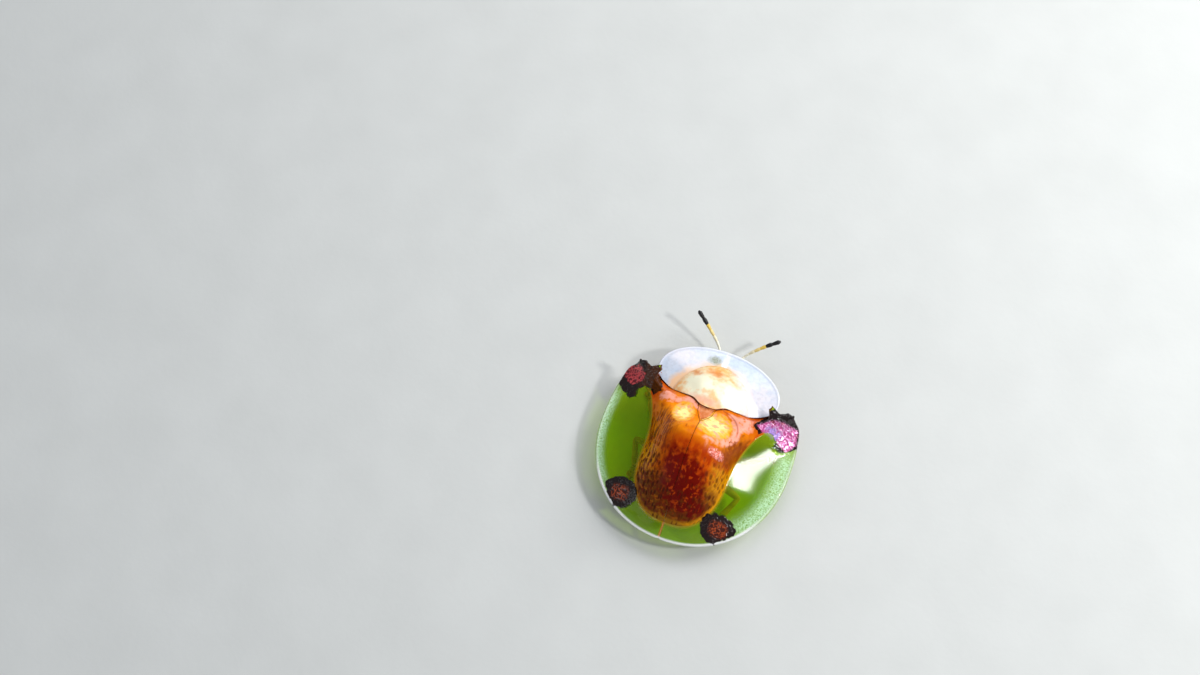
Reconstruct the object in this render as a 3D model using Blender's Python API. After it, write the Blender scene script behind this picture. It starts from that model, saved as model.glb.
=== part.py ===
"""A tortoise beetle at life size, standing on its six feet with its feelers held forward.

Blender works in metres and Z is up. The head points to -Y and the beetle's left side is +X. Places along
the body are stations: distances behind the front edge of the pronotum. The floor is at Z = 0, and the
origin lies under the middle of the whole outline, feelers included.
"""

import math

import bpy
import numpy as np
from mathutils import Vector

MM = 0.001

# Where the front edge of the pronotum lies, and what separate plates and limbs keep between them.
FRONT_Y = -5.39 * MM
GAP = 0.25 * MM
SHELL = 0.5 * MM

# The pronotum: a transverse shield with a clear rim round a domed disc.
PRONOTUM_HALF_WIDTH = 4.03 * MM
PRONOTUM_WIDEST = 2.3 * MM
PRONOTUM_CENTRE = 2.8 * MM
PRONOTUM_HIND_DEPTH = 1.75 * MM
PRONOTUM_HIND_POWER = 2.4
LOBE_DEPTH = 0.38 * MM
LOBE_HALF_WIDTH = 0.85 * MM
PRONOTUM_EDGE_Z = 1.65 * MM
PRONOTUM_EDGE_RISE = 0.09
PRONOTUM_RIM_RISE = 0.32 * MM
PRONOTUM_DISC_HALF_WIDTH = 2.6 * MM
PRONOTUM_DISC_BACK = 4.2 * MM
PRONOTUM_DISC_LENGTH = 2.95 * MM
PRONOTUM_DISC_RISE = 1.05 * MM
PRONOTUM_DISC_POWER = 2.2

# The two elytra: one nearly round outline, a domed disc and a wide clear margin.
ELYTRA_HALF_WIDTH = 6.17 * MM
ELYTRA_WIDEST = 6.4 * MM
ELYTRA_REAR_LENGTH = 6.4 * MM
ELYTRA_FRONT_LENGTH = 6.2 * MM
ELYTRA_REAR_POWER = 2.12
ELYTRA_FRONT_POWER = 2.6
SUTURE_HALF_GAP = 0.125 * MM
APEX_EDGE = 1.3 * MM
BASE_ANGLES = range(74, 14, -6)
SHOULDER_INNER = (4.45 * MM, 2.86 * MM)
SHOULDER_FRONT = (4.85 * MM, 2.62 * MM)
SHOULDER_TURN = ((5.4 * MM, 2.76 * MM), (5.8 * MM, 3.2 * MM))
SHOULDER_END = 4.3 * MM
DISC_HALF_WIDTH = 2.8 * MM
DISC_STRAIGHT = 8.0 * MM
DISC_REAR_LENGTH = 3.75 * MM
DISC_REAR_POWER = 2.6
DISC_SHOULDER_SPREAD = 1.1 * MM
DISC_SHOULDER_LENGTH = 3.8 * MM
DISC_SHOULDER_POWER = 2.4
DISC_SECTION_POWER = 2.5
CREST_BASE = (4.75 * MM, 3.3 * MM)
CREST_TOP = (6.9 * MM, 5.5 * MM)
CREST_FRONT_POWER = 1.3
CREST_REAR_POWER = 2.0
CREASE_Z = 2.5 * MM
CREASE_REAR_DROP = 0.75 * MM
CREASE_FRONT_DROP = 0.2 * MM
CREASE_FRONT = 6.5 * MM
CREASE_FRONT_LENGTH = 2.5 * MM
EDGE_Z = 1.2 * MM
EDGE_SHOULDER_RISE = 0.25 * MM
EDGE_RISE_END = 5.0 * MM
EDGE_RISE_LENGTH = 2.4 * MM
MARGIN_POWER = 1.25

# Bulges and hollows of the disc on each side: (x, station, radius, height).
DISC_RELIEF = (
    (2.6 * MM, 4.75 * MM, 0.7 * MM, 0.3 * MM),
    (1.1 * MM, 5.5 * MM, 0.55 * MM, -0.2 * MM),
    (2.15 * MM, 6.5 * MM, 0.6 * MM, -0.14 * MM),
)

# The scutellum, a small triangle between the elytra.
SCUTELLUM_HALF_WIDTH = 0.5 * MM
SCUTELLUM_LENGTH = 0.85 * MM
SCUTELLUM_RISE = 0.07 * MM
SCUTELLUM_SIDE = (0.35 * SCUTELLUM_HALF_WIDTH, 0.62 * SCUTELLUM_LENGTH)
SCUTELLUM_PEAK = 0.33 * SCUTELLUM_LENGTH
SCUTELLUM_FRONT = PRONOTUM_WIDEST + PRONOTUM_HIND_DEPTH + LOBE_DEPTH + GAP
NOTCH_CORNER = (0.75 * MM, SCUTELLUM_FRONT)
NOTCH_END = SCUTELLUM_FRONT + SCUTELLUM_LENGTH + 0.2 * MM

# The dark patches of each elytron: corners at the shoulder and behind the disc, as (x, station) in mm.
SHOULDER_PATCH = (
    (3.3, 3.5), (4.3, 3.4), (4.9, 2.5), (6.3, 2.5), (6.3, 4.9), (5.0, 5.1), (4.3, 4.4), (3.4, 4.8),
)
REAR_PATCH = ((2.35, 10.3), (4.1, 10.3), (5.0, 11.0), (3.4, 12.8), (2.7, 12.5), (2.25, 11.4))

# The grids that the shells are drawn on: across and along one elytron, round and across the pronotum.
ELYTRON_ACROSS, ELYTRON_ALONG = 20, 30
CREASE_COLUMN_RANGE = (0.32, 0.68)
PRONOTUM_ROUND, PRONOTUM_ACROSS = 44, 8

# The underside: prothorax, hind thorax and abdomen, as (front, back, half width) and their lowest level.
# Widths are (share of the way back, share of the half width).
PROTHORAX = (3.1 * MM, 4.75 * MM, 1.75 * MM)
PROTHORAX_WIDTHS = ((0.0, 0.62), (0.12, 0.86), (0.4, 1.0), (0.75, 1.0), (1.0, 0.9))
THORAX = (5.0 * MM, 7.9 * MM, 2.3 * MM)
THORAX_WIDTHS = ((0.0, 0.72), (0.1, 0.86), (0.35, 1.0), (0.7, 1.0), (1.0, 0.98))
ABDOMEN = (8.15 * MM, 10.9 * MM, 2.25 * MM)
ABDOMEN_LAST_WIDTH = 0.3
BELLY_Z = 1.45 * MM
SIDE_SEAM = 0.4
ABDOMEN_FALL = 0.45 * MM
VENTRITES = 5
VENTRITE_STEP = 0.07 * MM
BODY_SIDES = 20

# Legs: places of hip, knee, ankle and toe, as (x, station, z), in millimetres.
LEGS = {
    "leg_front_left": ((0.62, 3.95, 0.86), (2.15, 3.45, 0.92), (2.75, 1.95, 0.42), (2.85, 1.05, 0)),
    "leg_front_right": ((-0.62, 3.95, 0.86), (-2.3, 3.3, 0.92), (-2.75, 1.75, 0.42), (-2.6, 0.85, 0)),
    "leg_middle_left": ((0.95, 6.0, 0.86), (3.1, 5.85, 0.9), (3.75, 4.55, 0.42), (4.25, 3.75, 0)),
    "leg_middle_right": ((-0.95, 6.0, 0.86), (-3.15, 6.2, 0.9), (-4.3, 5.35, 0.42), (-5.1, 5.0, 0)),
    "leg_hind_left": ((1.0, 7.55, 0.86), (3.7, 7.25, 0.85), (3.2, 8.7, 0.42), (3.2, 9.65, 0)),
    "leg_hind_right": ((-1.0, 7.55, 0.86), (-3.7, 8.5, 0.85), (-3.05, 9.95, 0.42), (-2.6, 10.8, 0)),
}
HIP_RADIUS = 0.36 * MM
FEMUR_RADII = ((0.0, 0.2), (0.08, 0.26), (0.35, 0.33), (0.65, 0.33), (0.9, 0.28), (1.0, 0.16))
TIBIA_RADII = ((-0.06, 0.14), (0.04, 0.25), (0.45, 0.25), (0.85, 0.27), (1.05, 0.2))
# The foot from heel to toe: (share of its length, half width, height), in millimetres, and its outline
# across from sole to top as shares of that half width and height.
TARSUS_SHAPE = (
    (-0.12, 0.16, 0.3), (0.0, 0.25, 0.46), (0.16, 0.28, 0.46), (0.24, 0.22, 0.42), (0.32, 0.29, 0.44),
    (0.44, 0.31, 0.42), (0.52, 0.24, 0.38), (0.6, 0.36, 0.4), (0.8, 0.4, 0.36), (0.9, 0.26, 0.34),
    (1.05, 0.16, 0.3),
)
TARSUS_SECTION = ((-0.8, 0), (0.8, 0), (1.0, 0.35), (0.8, 0.8), (0.0, 1.0), (-0.8, 0.8), (-1.0, 0.35))
CLAW_LENGTH = 0.44 * MM
CLAW_RADII = (0.11 * MM, 0.088 * MM, 0.033 * MM)
CLAW_SPREAD = math.radians(28)
CLAW_ROOT = (0.07 * MM, 0.12 * MM, 0.15 * MM)
CLAW_ARCH = 0.02 * MM
CLAW_HOOK = 0.07 * MM
LIMB_SIDES = 8

# Feelers: eleven joints of these lengths and thicknesses, the last two black, and the line they follow.
# Each joint swells towards its end: (share of the joint, share of the radius).
JOINT_LENGTHS = (0.5, 0.24, 0.44, 0.42, 0.42, 0.36, 0.4, 0.4, 0.42, 0.4, 0.58)
JOINT_RADII = (0.27, 0.25, 0.25, 0.25, 0.25, 0.255, 0.27, 0.28, 0.29, 0.29, 0.27)
JOINT_SWELL = ((0.06, 0.72), (0.4, 0.95), (0.85, 1.0))
FEELER_TIP = 0.45
BLACK_JOINTS = 2
FEELER_LEFT = (
    (0.36, 1.62, 0.85), (0.5, 0.75, 0.68), (0.95, -0.3, 0.85), (1.9, -1.15, 1.35), (2.9, -1.85, 1.9),
)
FEELER_RIGHT = (
    (-0.36, 1.62, 0.85), (-0.5, 0.75, 0.68), (-0.95, -0.3, 0.85), (-1.85, -1.1, 1.3), (-2.75, -1.85, 1.7),
)

# The head, hidden below the pronotum: (x, station, z) of the middle of its parts and their half sizes,
# in millimetres. Paired parts are given for the left side.
HEAD_MIDDLE = (0.0, 2.25, 1.3)
HEAD_HALF_SIZES = (0.52, 0.5, 0.55)
LIP_MIDDLE = (0, 1.98, 0.82)
LIP_HALF_SIZES = (0.3, 0.2, 0.24)
SOCKET_MIDDLE = (0.24, 1.9, 1.12)
SOCKET_RADIUS = 0.2
JAW = ((0.3, 2.2, 0.85), (0.12, 1.95, 0.52))
JAW_RADII = ((0, 0.2), (0.5, 0.18), (1.1, 0.06))
PALP = ((0.3, 2.4, 0.95), (0.5, 2.2, 0.66), (0.55, 1.92, 0.5))
PALP_RADII = (0.16 * MM, 0.17 * MM, 0.08 * MM)
MOUTHPART_SIDES = 7
EYE_MIDDLE = (0.96, 2.3, 1.34)
EYE_HALF_SIZES = (0.24, 0.38, 0.42)
EYE_LEAN = math.radians(12)

CLEAR_AMBER = (0.86, 0.78, 0.48, 1.0)
GOLDEN_BROWN = (0.62, 0.2, 0.03, 1.0)
PALE_GOLD = (0.85, 0.5, 0.18, 1.0)
MAROON = (0.12, 0.02, 0.02, 1.0)
STRAW = (0.8, 0.58, 0.22, 1.0)
BLACK = (0.01, 0.01, 0.01, 1.0)


def material(name, colour, roughness, alpha=1.0):
    """A Principled material of one colour."""
    made = bpy.data.materials.get(name) or bpy.data.materials.new(name)
    made.use_nodes = True
    shader = made.node_tree.nodes["Principled BSDF"]
    shader.inputs["Base Color"].default_value = colour
    shader.inputs["Roughness"].default_value = roughness
    shader.inputs["Alpha"].default_value = alpha
    made.diffuse_color = colour
    return made


def turn_outwards(mesh):
    """Turns all faces round if the closed mesh is inside out."""
    volume = 0.0
    for face in mesh.polygons:
        corners = [mesh.vertices[v].co for v in face.vertices]
        for a, b in zip(corners[1:-1], corners[2:]):
            volume += corners[0].dot(a.cross(b))
    if volume < 0:
        mesh.flip_normals()


def add_object(name, points, faces, materials, face_slots=None):
    """One smooth-shaded mesh object, with a material for each face."""
    mesh = bpy.data.meshes.new(name)
    mesh.from_pydata([tuple(p) for p in points], [], [tuple(f) for f in faces])
    turn_outwards(mesh)
    for item in materials:
        mesh.materials.append(item)
    if face_slots is not None:
        mesh.polygons.foreach_set("material_index", face_slots)
    mesh.shade_smooth()
    mesh.set_sharp_from_angle(angle=math.radians(50))
    made = bpy.data.objects.new(name, mesh)
    bpy.context.scene.collection.objects.link(made)
    return made


def place(point):
    """A point given as (x, station, z) in millimetres, in the scene."""
    x, station, z = point
    return Vector((x * MM, FRONT_Y + station * MM, z * MM))


def join(name, pieces):
    """The pieces fused into one closed body by a Boolean union, of which the largest surface stays."""
    body, rest = pieces[0], pieces[1:]
    group = bpy.data.collections.new(name + "_pieces")
    bpy.context.scene.collection.children.link(group)
    for piece in rest:
        bpy.context.scene.collection.objects.unlink(piece)
        group.objects.link(piece)
    union = body.modifiers.new("union", "BOOLEAN")
    union.operation = "UNION"
    union.operand_type = "COLLECTION"
    union.collection = group
    union.solver = "EXACT"
    graph = bpy.context.evaluated_depsgraph_get()
    fused = bpy.data.meshes.new_from_object(body.evaluated_get(graph))
    body.modifiers.clear()
    body.data = fused
    body.name = name
    for piece in rest:
        bpy.data.objects.remove(piece)
    bpy.data.collections.remove(group)
    keep_largest(fused)
    return body


def keep_largest(mesh):
    """Deletes every closed surface of the mesh but the one with the most corners."""
    links = {v: [] for v in range(len(mesh.vertices))}
    for edge in mesh.edges:
        a, b = edge.vertices
        links[a].append(b)
        links[b].append(a)
    left, largest = set(links), set()
    while left:
        found, todo = set(), [left.pop()]
        while todo:
            corner = todo.pop()
            found.add(corner)
            fresh = [n for n in links[corner] if n in left]
            left.difference_update(fresh)
            todo += fresh
        largest = max(largest, found, key=len)
    if len(largest) == len(links):
        return
    order = sorted(largest)
    index = {corner: i for i, corner in enumerate(order)}
    points = [mesh.vertices[i].co.copy() for i in order]
    kept = [p for p in mesh.polygons if p.vertices[0] in largest]
    faces = [[index[v] for v in p.vertices] for p in kept]
    slots = [p.material_index for p in kept]
    mesh.clear_geometry()
    mesh.from_pydata(points, [], faces)
    mesh.polygons.foreach_set("material_index", slots)


def resample(points, count):
    """count points evenly spaced along the line through the points."""
    points = np.array(points, float)
    run = np.concatenate([[0], np.cumsum(np.linalg.norm(np.diff(points, axis=0), axis=1))])
    lengths = np.linspace(0, run[-1], count)
    return np.stack([np.interp(lengths, run, points[:, k]) for k in range(points.shape[1])], axis=1)


def at(points, shares):
    """Points at shares of the length of the line through the points."""
    run = np.concatenate([[0], np.cumsum(np.linalg.norm(np.diff(points, axis=0), axis=1))])
    return np.stack([np.interp(np.asarray(shares) * run[-1], run, points[:, k]) for k in (0, 1)], axis=1)


def smooth_line(points, steps=12):
    """A Catmull-Rom curve through the points, with steps pieces between each two."""
    points = np.array(points, float)
    ends = np.vstack([2 * points[0] - points[1], points, 2 * points[-1] - points[-2]])
    made = []
    for i in range(1, len(ends) - 2):
        a, b, c, d = ends[i - 1 : i + 3]
        bend = 2 * a - 5 * b + 4 * c - d
        twist = 3 * b - a - 3 * c + d
        for t in np.arange(steps) / steps:
            made.append(0.5 * (2 * b + (c - a) * t + bend * t**2 + twist * t**3))
    return np.vstack([made, points[-1]])


def pronotum_outline(angle):
    """(x, y) on the pronotum's edge: angle 0 is its left end, 90 degrees the middle of the hind margin."""
    c, s = math.cos(angle), math.sin(angle)
    if s < 0:
        return PRONOTUM_HALF_WIDTH * c, FRONT_Y + PRONOTUM_WIDEST * (1 + s)
    power = 2 / PRONOTUM_HIND_POWER
    x = PRONOTUM_HALF_WIDTH * math.copysign(abs(c) ** power, c)
    lobe = LOBE_DEPTH * math.exp(-((x / LOBE_HALF_WIDTH) ** 4)) * s**8
    return x, FRONT_Y + PRONOTUM_WIDEST + PRONOTUM_HIND_DEPTH * s**power + lobe


def pronotum_height(x, y):
    """The upper surface of the pronotum, over arrays of x and y."""
    x, station = np.abs(x), y - FRONT_Y
    ahead = np.maximum(PRONOTUM_DISC_BACK - station, 0)
    disc = np.hypot(x / PRONOTUM_DISC_HALF_WIDTH, ahead / PRONOTUM_DISC_LENGTH)
    beyond_disc = np.maximum(np.hypot(x, ahead) * (1 - 1 / np.maximum(disc, 1e-6)), 0)
    front = np.maximum(PRONOTUM_WIDEST - station, 0)
    round_edge = np.hypot(x / PRONOTUM_HALF_WIDTH, front / PRONOTUM_WIDEST)
    to_edge = np.maximum(np.hypot(x, front) * (1 / np.maximum(round_edge, 1e-6) - 1), 0)
    share = beyond_disc / np.maximum(beyond_disc + to_edge, 1e-9)
    level = PRONOTUM_EDGE_Z + PRONOTUM_EDGE_RISE * station
    rim = level + PRONOTUM_RIM_RISE * (1 - share) ** MARGIN_POWER
    return rim + PRONOTUM_DISC_RISE * np.maximum(1 - disc**PRONOTUM_DISC_POWER, 0)


def elytra_outline_x(station):
    """Half the width of both elytra at a station, without the rounded shoulder."""
    behind = station >= ELYTRA_WIDEST
    length = ELYTRA_REAR_LENGTH if behind else ELYTRA_FRONT_LENGTH
    power = ELYTRA_REAR_POWER if behind else ELYTRA_FRONT_POWER
    share = min(abs(station - ELYTRA_WIDEST) / length, 1)
    return ELYTRA_HALF_WIDTH * (1 - share**power) ** (1 / power)


def disc_half_width(station):
    """Half the width of the domed disc at stations ahead of where its rear rounds off."""
    ahead = np.maximum(DISC_STRAIGHT - station, 0) / DISC_SHOULDER_LENGTH
    return DISC_HALF_WIDTH + DISC_SHOULDER_SPREAD * ahead**DISC_SHOULDER_POWER


def elytra_height(x, y):
    """The upper surface of the elytra, over arrays of x and y."""
    x, station = np.abs(x), y - FRONT_Y
    behind = np.maximum(station - DISC_STRAIGHT, 0)
    rear = behind > 0
    disc = disc_share(x, station)
    reach = np.where(rear, np.hypot(x, behind), x)
    beyond_disc = np.maximum(reach * (1 - 1 / np.maximum(disc, 1e-6)), 0)
    # The way from there to the outer edge.
    along = station - ELYTRA_WIDEST
    power = np.where(along >= 0, ELYTRA_REAR_POWER, ELYTRA_FRONT_POWER)
    length = np.where(along >= 0, ELYTRA_REAR_LENGTH, ELYTRA_FRONT_LENGTH)
    outer = ((x / ELYTRA_HALF_WIDTH) ** power + (np.abs(along) / length) ** power) ** (1 / power)
    to_edge = np.maximum(np.hypot(x, along) * (1 / np.maximum(outer, 1e-6) - 1), 0)
    share = beyond_disc / np.maximum(beyond_disc + to_edge, 1e-9)
    # Levels of the outer edge, of the crease and of the crest along the middle.
    shoulder = np.clip((EDGE_RISE_END - station) / EDGE_RISE_LENGTH, 0, 1)
    edge = EDGE_Z + EDGE_SHOULDER_RISE * shoulder
    crease = (
        CREASE_Z
        - CREASE_REAR_DROP * (np.minimum(behind / DISC_REAR_LENGTH, 1)) ** 2
        - CREASE_FRONT_DROP * (np.clip((CREASE_FRONT - station) / CREASE_FRONT_LENGTH, 0, 1)) ** 2
    )
    climb = np.clip((station - CREST_BASE[0]) / (CREST_TOP[0] - CREST_BASE[0]), 0, 1)
    rise = np.sin(climb * math.pi / 2) ** CREST_FRONT_POWER
    front_crest = CREST_BASE[1] + (CREST_TOP[1] - CREST_BASE[1]) * rise
    last = DISC_STRAIGHT + DISC_REAR_LENGTH
    fall = np.clip((station - CREST_TOP[0]) / (last - CREST_TOP[0]), 0, 1)
    low = CREASE_Z - CREASE_REAR_DROP
    rear_crest = low + (CREST_TOP[1] - low) * (1 - fall**CREST_REAR_POWER)
    crest = np.where(station < CREST_TOP[0], front_crest, rear_crest)
    taper = np.maximum(1 - (behind / DISC_REAR_LENGTH) ** DISC_REAR_POWER, 1e-9) ** (1 / DISC_REAR_POWER)
    section = x / np.maximum(disc_half_width(station) * taper, 1e-9)
    dome = np.maximum(1 - np.minimum(section, 1) ** DISC_SECTION_POWER, 0) * np.maximum(crest - crease, 0)
    margin = edge + (crease - edge) * np.maximum(1 - share, 0) ** MARGIN_POWER
    height = np.where(disc < 1, crease + dome, margin)
    for bump_x, bump_station, radius, bump_rise in DISC_RELIEF:
        away = ((x - bump_x) ** 2 + (station - bump_station) ** 2) / radius**2
        height = height + bump_rise * np.exp(-away)
    return height


def slopes(height, x, y, step=0.02 * MM):
    """The surface's steepness along x and along y."""
    along_x = (height(x + step, y) - height(x - step, y)) / (2 * step)
    along_y = (height(x, y + step) - height(x, y - step)) / (2 * step)
    return along_x, along_y


def ceiling(height, x, y):
    """How high a body may reach below a shell: its underside less the gap."""
    along_x, along_y = slopes(height, x, y)
    return height(x, y) - (SHELL + GAP) * np.sqrt(1 + along_x**2 + along_y**2)


def elytron_sides():
    """The four sides of the left elytron seen from above: suture, base, outer side and apex."""
    suture_front = (SUTURE_HALF_GAP, NOTCH_END)
    base = [suture_front, NOTCH_CORNER]
    for degrees in BASE_ANGLES:
        angle = math.radians(degrees)
        x, y = pronotum_outline(angle)
        x1, y1 = pronotum_outline(angle - 0.02)
        out = Vector((y - y1, x1 - x)).normalized()
        if out.y < 0:
            out = -out
        base.append((x + out.x * GAP, y - FRONT_Y + out.y * GAP))
    base.append(SHOULDER_INNER)
    base.append(SHOULDER_FRONT)
    arc = []
    for station in np.linspace(SHOULDER_END, ELYTRA_WIDEST, 12)[:-1]:
        arc.append((elytra_outline_x(station), station))
    for angle in np.linspace(0, math.pi / 2, 60):
        x = ELYTRA_HALF_WIDTH * math.cos(angle) ** (2 / ELYTRA_REAR_POWER)
        if x <= APEX_EDGE:
            break
        arc.append((x, ELYTRA_WIDEST + ELYTRA_REAR_LENGTH * math.sin(angle) ** (2 / ELYTRA_REAR_POWER)))
    outer = [SHOULDER_FRONT, *SHOULDER_TURN, *arc]
    apex = []
    for x in np.linspace(SUTURE_HALF_GAP, APEX_EDGE, 8):
        share = (x / ELYTRA_HALF_WIDTH) ** ELYTRA_REAR_POWER
        apex.append((x, ELYTRA_WIDEST + ELYTRA_REAR_LENGTH * (1 - share) ** (1 / ELYTRA_REAR_POWER)))
    outer.append(apex[-1])
    suture = [suture_front, apex[0]]
    return suture, base, outer, apex


def disc_share(x, station):
    """How far out a point lies on the domed disc of the elytra, where 1 is the crease round it."""
    behind = np.maximum(station - DISC_STRAIGHT, 0)
    rear = ((x / DISC_HALF_WIDTH) ** DISC_REAR_POWER + (behind / DISC_REAR_LENGTH) ** DISC_REAR_POWER)
    return np.where(behind > 0, rear ** (1 / DISC_REAR_POWER), x / disc_half_width(station))


def elytron_plan(across, along):
    """A grid of (x, station) over the left elytron, rows from base to apex, blended from its four sides.

    The middle column follows the crease round the disc as far as the crease runs along the rows.
    """
    suture, base, outer, apex = elytron_sides()
    suture, outer = resample(suture, along + 1), resample(smooth_line(outer, 6), along + 1)
    base, apex = smooth_line(base, 6), np.array(apex)
    t = np.linspace(0, 1, along + 1)
    columns = np.linspace(0, 1, across + 1)
    plan = np.empty((along + 1, across + 1, 2))

    def row(share, r):
        """Points at shares of the way across, on row r."""
        s = np.asarray(share)[:, None]
        between_sides = (1 - s) * suture[r] + s * outer[r]
        between_ends = (1 - t[r]) * at(base, share) + t[r] * at(apex, share)
        inner_corners = (1 - t[r]) * base[0] + t[r] * apex[0]
        outer_corners = (1 - t[r]) * base[-1] + t[r] * apex[-1]
        return between_sides + between_ends - (1 - s) * inner_corners - s * outer_corners

    for r in range(along + 1):
        dense = np.linspace(0, 1, 400)
        found = row(dense, r)
        crease = dense[np.argmax(disc_share(found[:, 0], found[:, 1]) >= 1)]
        crease = min(max(crease, CREASE_COLUMN_RANGE[0]), CREASE_COLUMN_RANGE[1])
        share = np.interp(columns, (0, 0.5, 1), (0, crease, 1))
        plan[r] = row(share, r)
    return plan


def inside(polygon, x, y):
    """Whether the point lies in the polygon."""
    hit = False
    for (x1, y1), (x2, y2) in zip(polygon, polygon[1:] + polygon[:1]):
        if (y1 > y) != (y2 > y) and x < (x2 - x1) * (y - y1) / (y2 - y1) + x1:
            hit = not hit
    return hit


def shell_from_grid(top, bottom, rows, columns):
    """Points and faces of a closed shell between two grids of rows by columns corners."""
    points = np.vstack([top.reshape(-1, 3), bottom.reshape(-1, 3)])
    under = rows * columns
    faces = []
    for r in range(rows - 1):
        for c in range(columns - 1):
            a = r * columns + c
            quad = (a, a + 1, a + columns + 1, a + columns)
            faces.append(quad)
            faces.append(tuple(under + i for i in reversed(quad)))
    ring = list(range(columns))
    ring += [r * columns + columns - 1 for r in range(1, rows)]
    ring += [(rows - 1) * columns + c for c in range(columns - 2, -1, -1)]
    ring += [r * columns for r in range(rows - 2, 0, -1)]
    for a, b in zip(ring, ring[1:] + ring[:1]):
        faces.append((b, a, under + a, under + b))
    return points, faces


def build_elytron(name, side):
    """One elytron: side is 1 for the left and -1 for the right."""
    plan = elytron_plan(ELYTRON_ACROSS, ELYTRON_ALONG)
    x, y = plan[..., 0], plan[..., 1] + FRONT_Y
    along_x, along_y = slopes(elytra_height, x, y)
    along_x[:, 0] = 0
    top = np.stack([x, y, elytra_height(x, y)], axis=-1)
    normal = np.stack([-along_x, -along_y, np.ones_like(x)], axis=-1)
    normal /= np.linalg.norm(normal, axis=-1, keepdims=True)
    bottom = top - normal * SHELL
    bottom[:, 0, 0] = SUTURE_HALF_GAP
    bottom[..., 0] = np.maximum(bottom[..., 0], SUTURE_HALF_GAP)
    points, faces = shell_from_grid(top, bottom, ELYTRON_ALONG + 1, ELYTRON_ACROSS + 1)
    points[:, 0] *= side
    slots = []
    for face in faces:
        mx = np.abs(points[list(face), 0]).mean()
        my = points[list(face), 1].mean() - FRONT_Y
        on_disc = disc_share(mx, my) < 1
        dark = inside(SHOULDER_PATCH, mx / MM, my / MM) or inside(REAR_PATCH, mx / MM, my / MM)
        slots.append(2 if dark else (0 if on_disc else 1))
    finishes = [
        material("disc_golden_brown", GOLDEN_BROWN, 0.25),
        material("margin_clear_amber", CLEAR_AMBER, 0.15, 0.35),
        material("patch_maroon", MAROON, 0.3),
    ]
    return add_object(name, points, faces, finishes, slots)


def build_pronotum():
    """The shield over head and prothorax: rings of corners from its middle to its edge, with an underside."""
    middle = (0.0, FRONT_Y + PRONOTUM_CENTRE)
    edge = resample([pronotum_outline(math.radians(k / 2)) for k in range(721)], PRONOTUM_ROUND + 1)[:-1]
    rings = []
    for ring in range(1, PRONOTUM_ACROSS + 1):
        share = ring / PRONOTUM_ACROSS
        rings.append(np.array(middle) + share * (edge - np.array(middle)))
    plan = np.vstack([[middle], *rings])
    x, y = plan[:, 0], plan[:, 1]
    along_x, along_y = slopes(pronotum_height, x, y)
    top = np.stack([x, y, pronotum_height(x, y)], axis=-1)
    normal = np.stack([-along_x, -along_y, np.ones_like(x)], axis=-1)
    normal /= np.linalg.norm(normal, axis=-1, keepdims=True)
    bottom = top - normal * SHELL
    points = np.vstack([top, bottom])
    under, count = len(top), PRONOTUM_ROUND
    faces, slots = [], []

    def add(face, slot):
        faces.append(face)
        slots.append(slot)

    for k in range(count):
        n = (k + 1) % count
        add((0, 1 + k, 1 + n), 0)
        add((under, under + 1 + n, under + 1 + k), 0)
        for ring in range(PRONOTUM_ACROSS - 1):
            a, b = 1 + ring * count + k, 1 + ring * count + n
            c, d = b + count, a + count
            mx, my = plan[[a, b, c, d], 0].mean(), plan[[a, b, c, d], 1].mean() - FRONT_Y
            ahead = max(PRONOTUM_DISC_BACK - my, 0)
            on_disc = math.hypot(mx / PRONOTUM_DISC_HALF_WIDTH, ahead / PRONOTUM_DISC_LENGTH) < 1
            slot = 0 if on_disc else 1
            add((a, d, c, b), slot)
            add((under + a, under + b, under + c, under + d), slot)
        a = 1 + (PRONOTUM_ACROSS - 1) * count + k
        b = 1 + (PRONOTUM_ACROSS - 1) * count + n
        add((b, a, under + a, under + b), 1)
    finishes = [
        material("pronotum_pale_gold", PALE_GOLD, 0.25),
        material("margin_clear_amber", CLEAR_AMBER, 0.15, 0.35),
    ]
    return add_object("pronotum", points, faces, finishes, slots)


def build_scutellum():
    """The small triangle at the front of the suture."""
    front = FRONT_Y + SCUTELLUM_FRONT
    side_x, side_length = SCUTELLUM_SIDE
    corners = [
        (-SCUTELLUM_HALF_WIDTH, front),
        (SCUTELLUM_HALF_WIDTH, front),
        (side_x, front + side_length),
        (0.0, front + SCUTELLUM_LENGTH),
        (-side_x, front + side_length),
    ]
    corners.append((0.0, front + SCUTELLUM_PEAK))
    levels = elytra_height(np.array([c[0] for c in corners]), np.array([c[1] for c in corners]))
    points = [(x, y, z) for (x, y), z in zip(corners[:-1], levels)]
    points += [(x, y, z - SHELL) for (x, y), z in zip(corners[:-1], levels)]
    x, y = corners.pop()
    points.append((x, y, levels[-1] + SCUTELLUM_RISE))
    count = len(corners)
    faces = [tuple(range(2 * count - 1, count - 1, -1))]
    for k in range(count):
        n = (k + 1) % count
        faces.append((k, n, 2 * count))
        faces.append((n, k, count + k, count + n))
    return add_object("scutellum", points, faces, [material("scutellum_gold", PALE_GOLD, 0.25)])


def loft(name, rings, finish):
    """A closed body through rings of equally many corners, capped at both ends."""
    count = len(rings[0])
    points = [p for ring in rings for p in ring]
    faces = [tuple(range(count - 1, -1, -1))]
    for r in range(len(rings) - 1):
        for k in range(count):
            n = (k + 1) % count
            faces.append((r * count + k, r * count + n, (r + 1) * count + n, (r + 1) * count + k))
    faces.append(tuple((len(rings) - 1) * count + k for k in range(count)))
    return add_object(name, points, faces, [finish])


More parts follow.
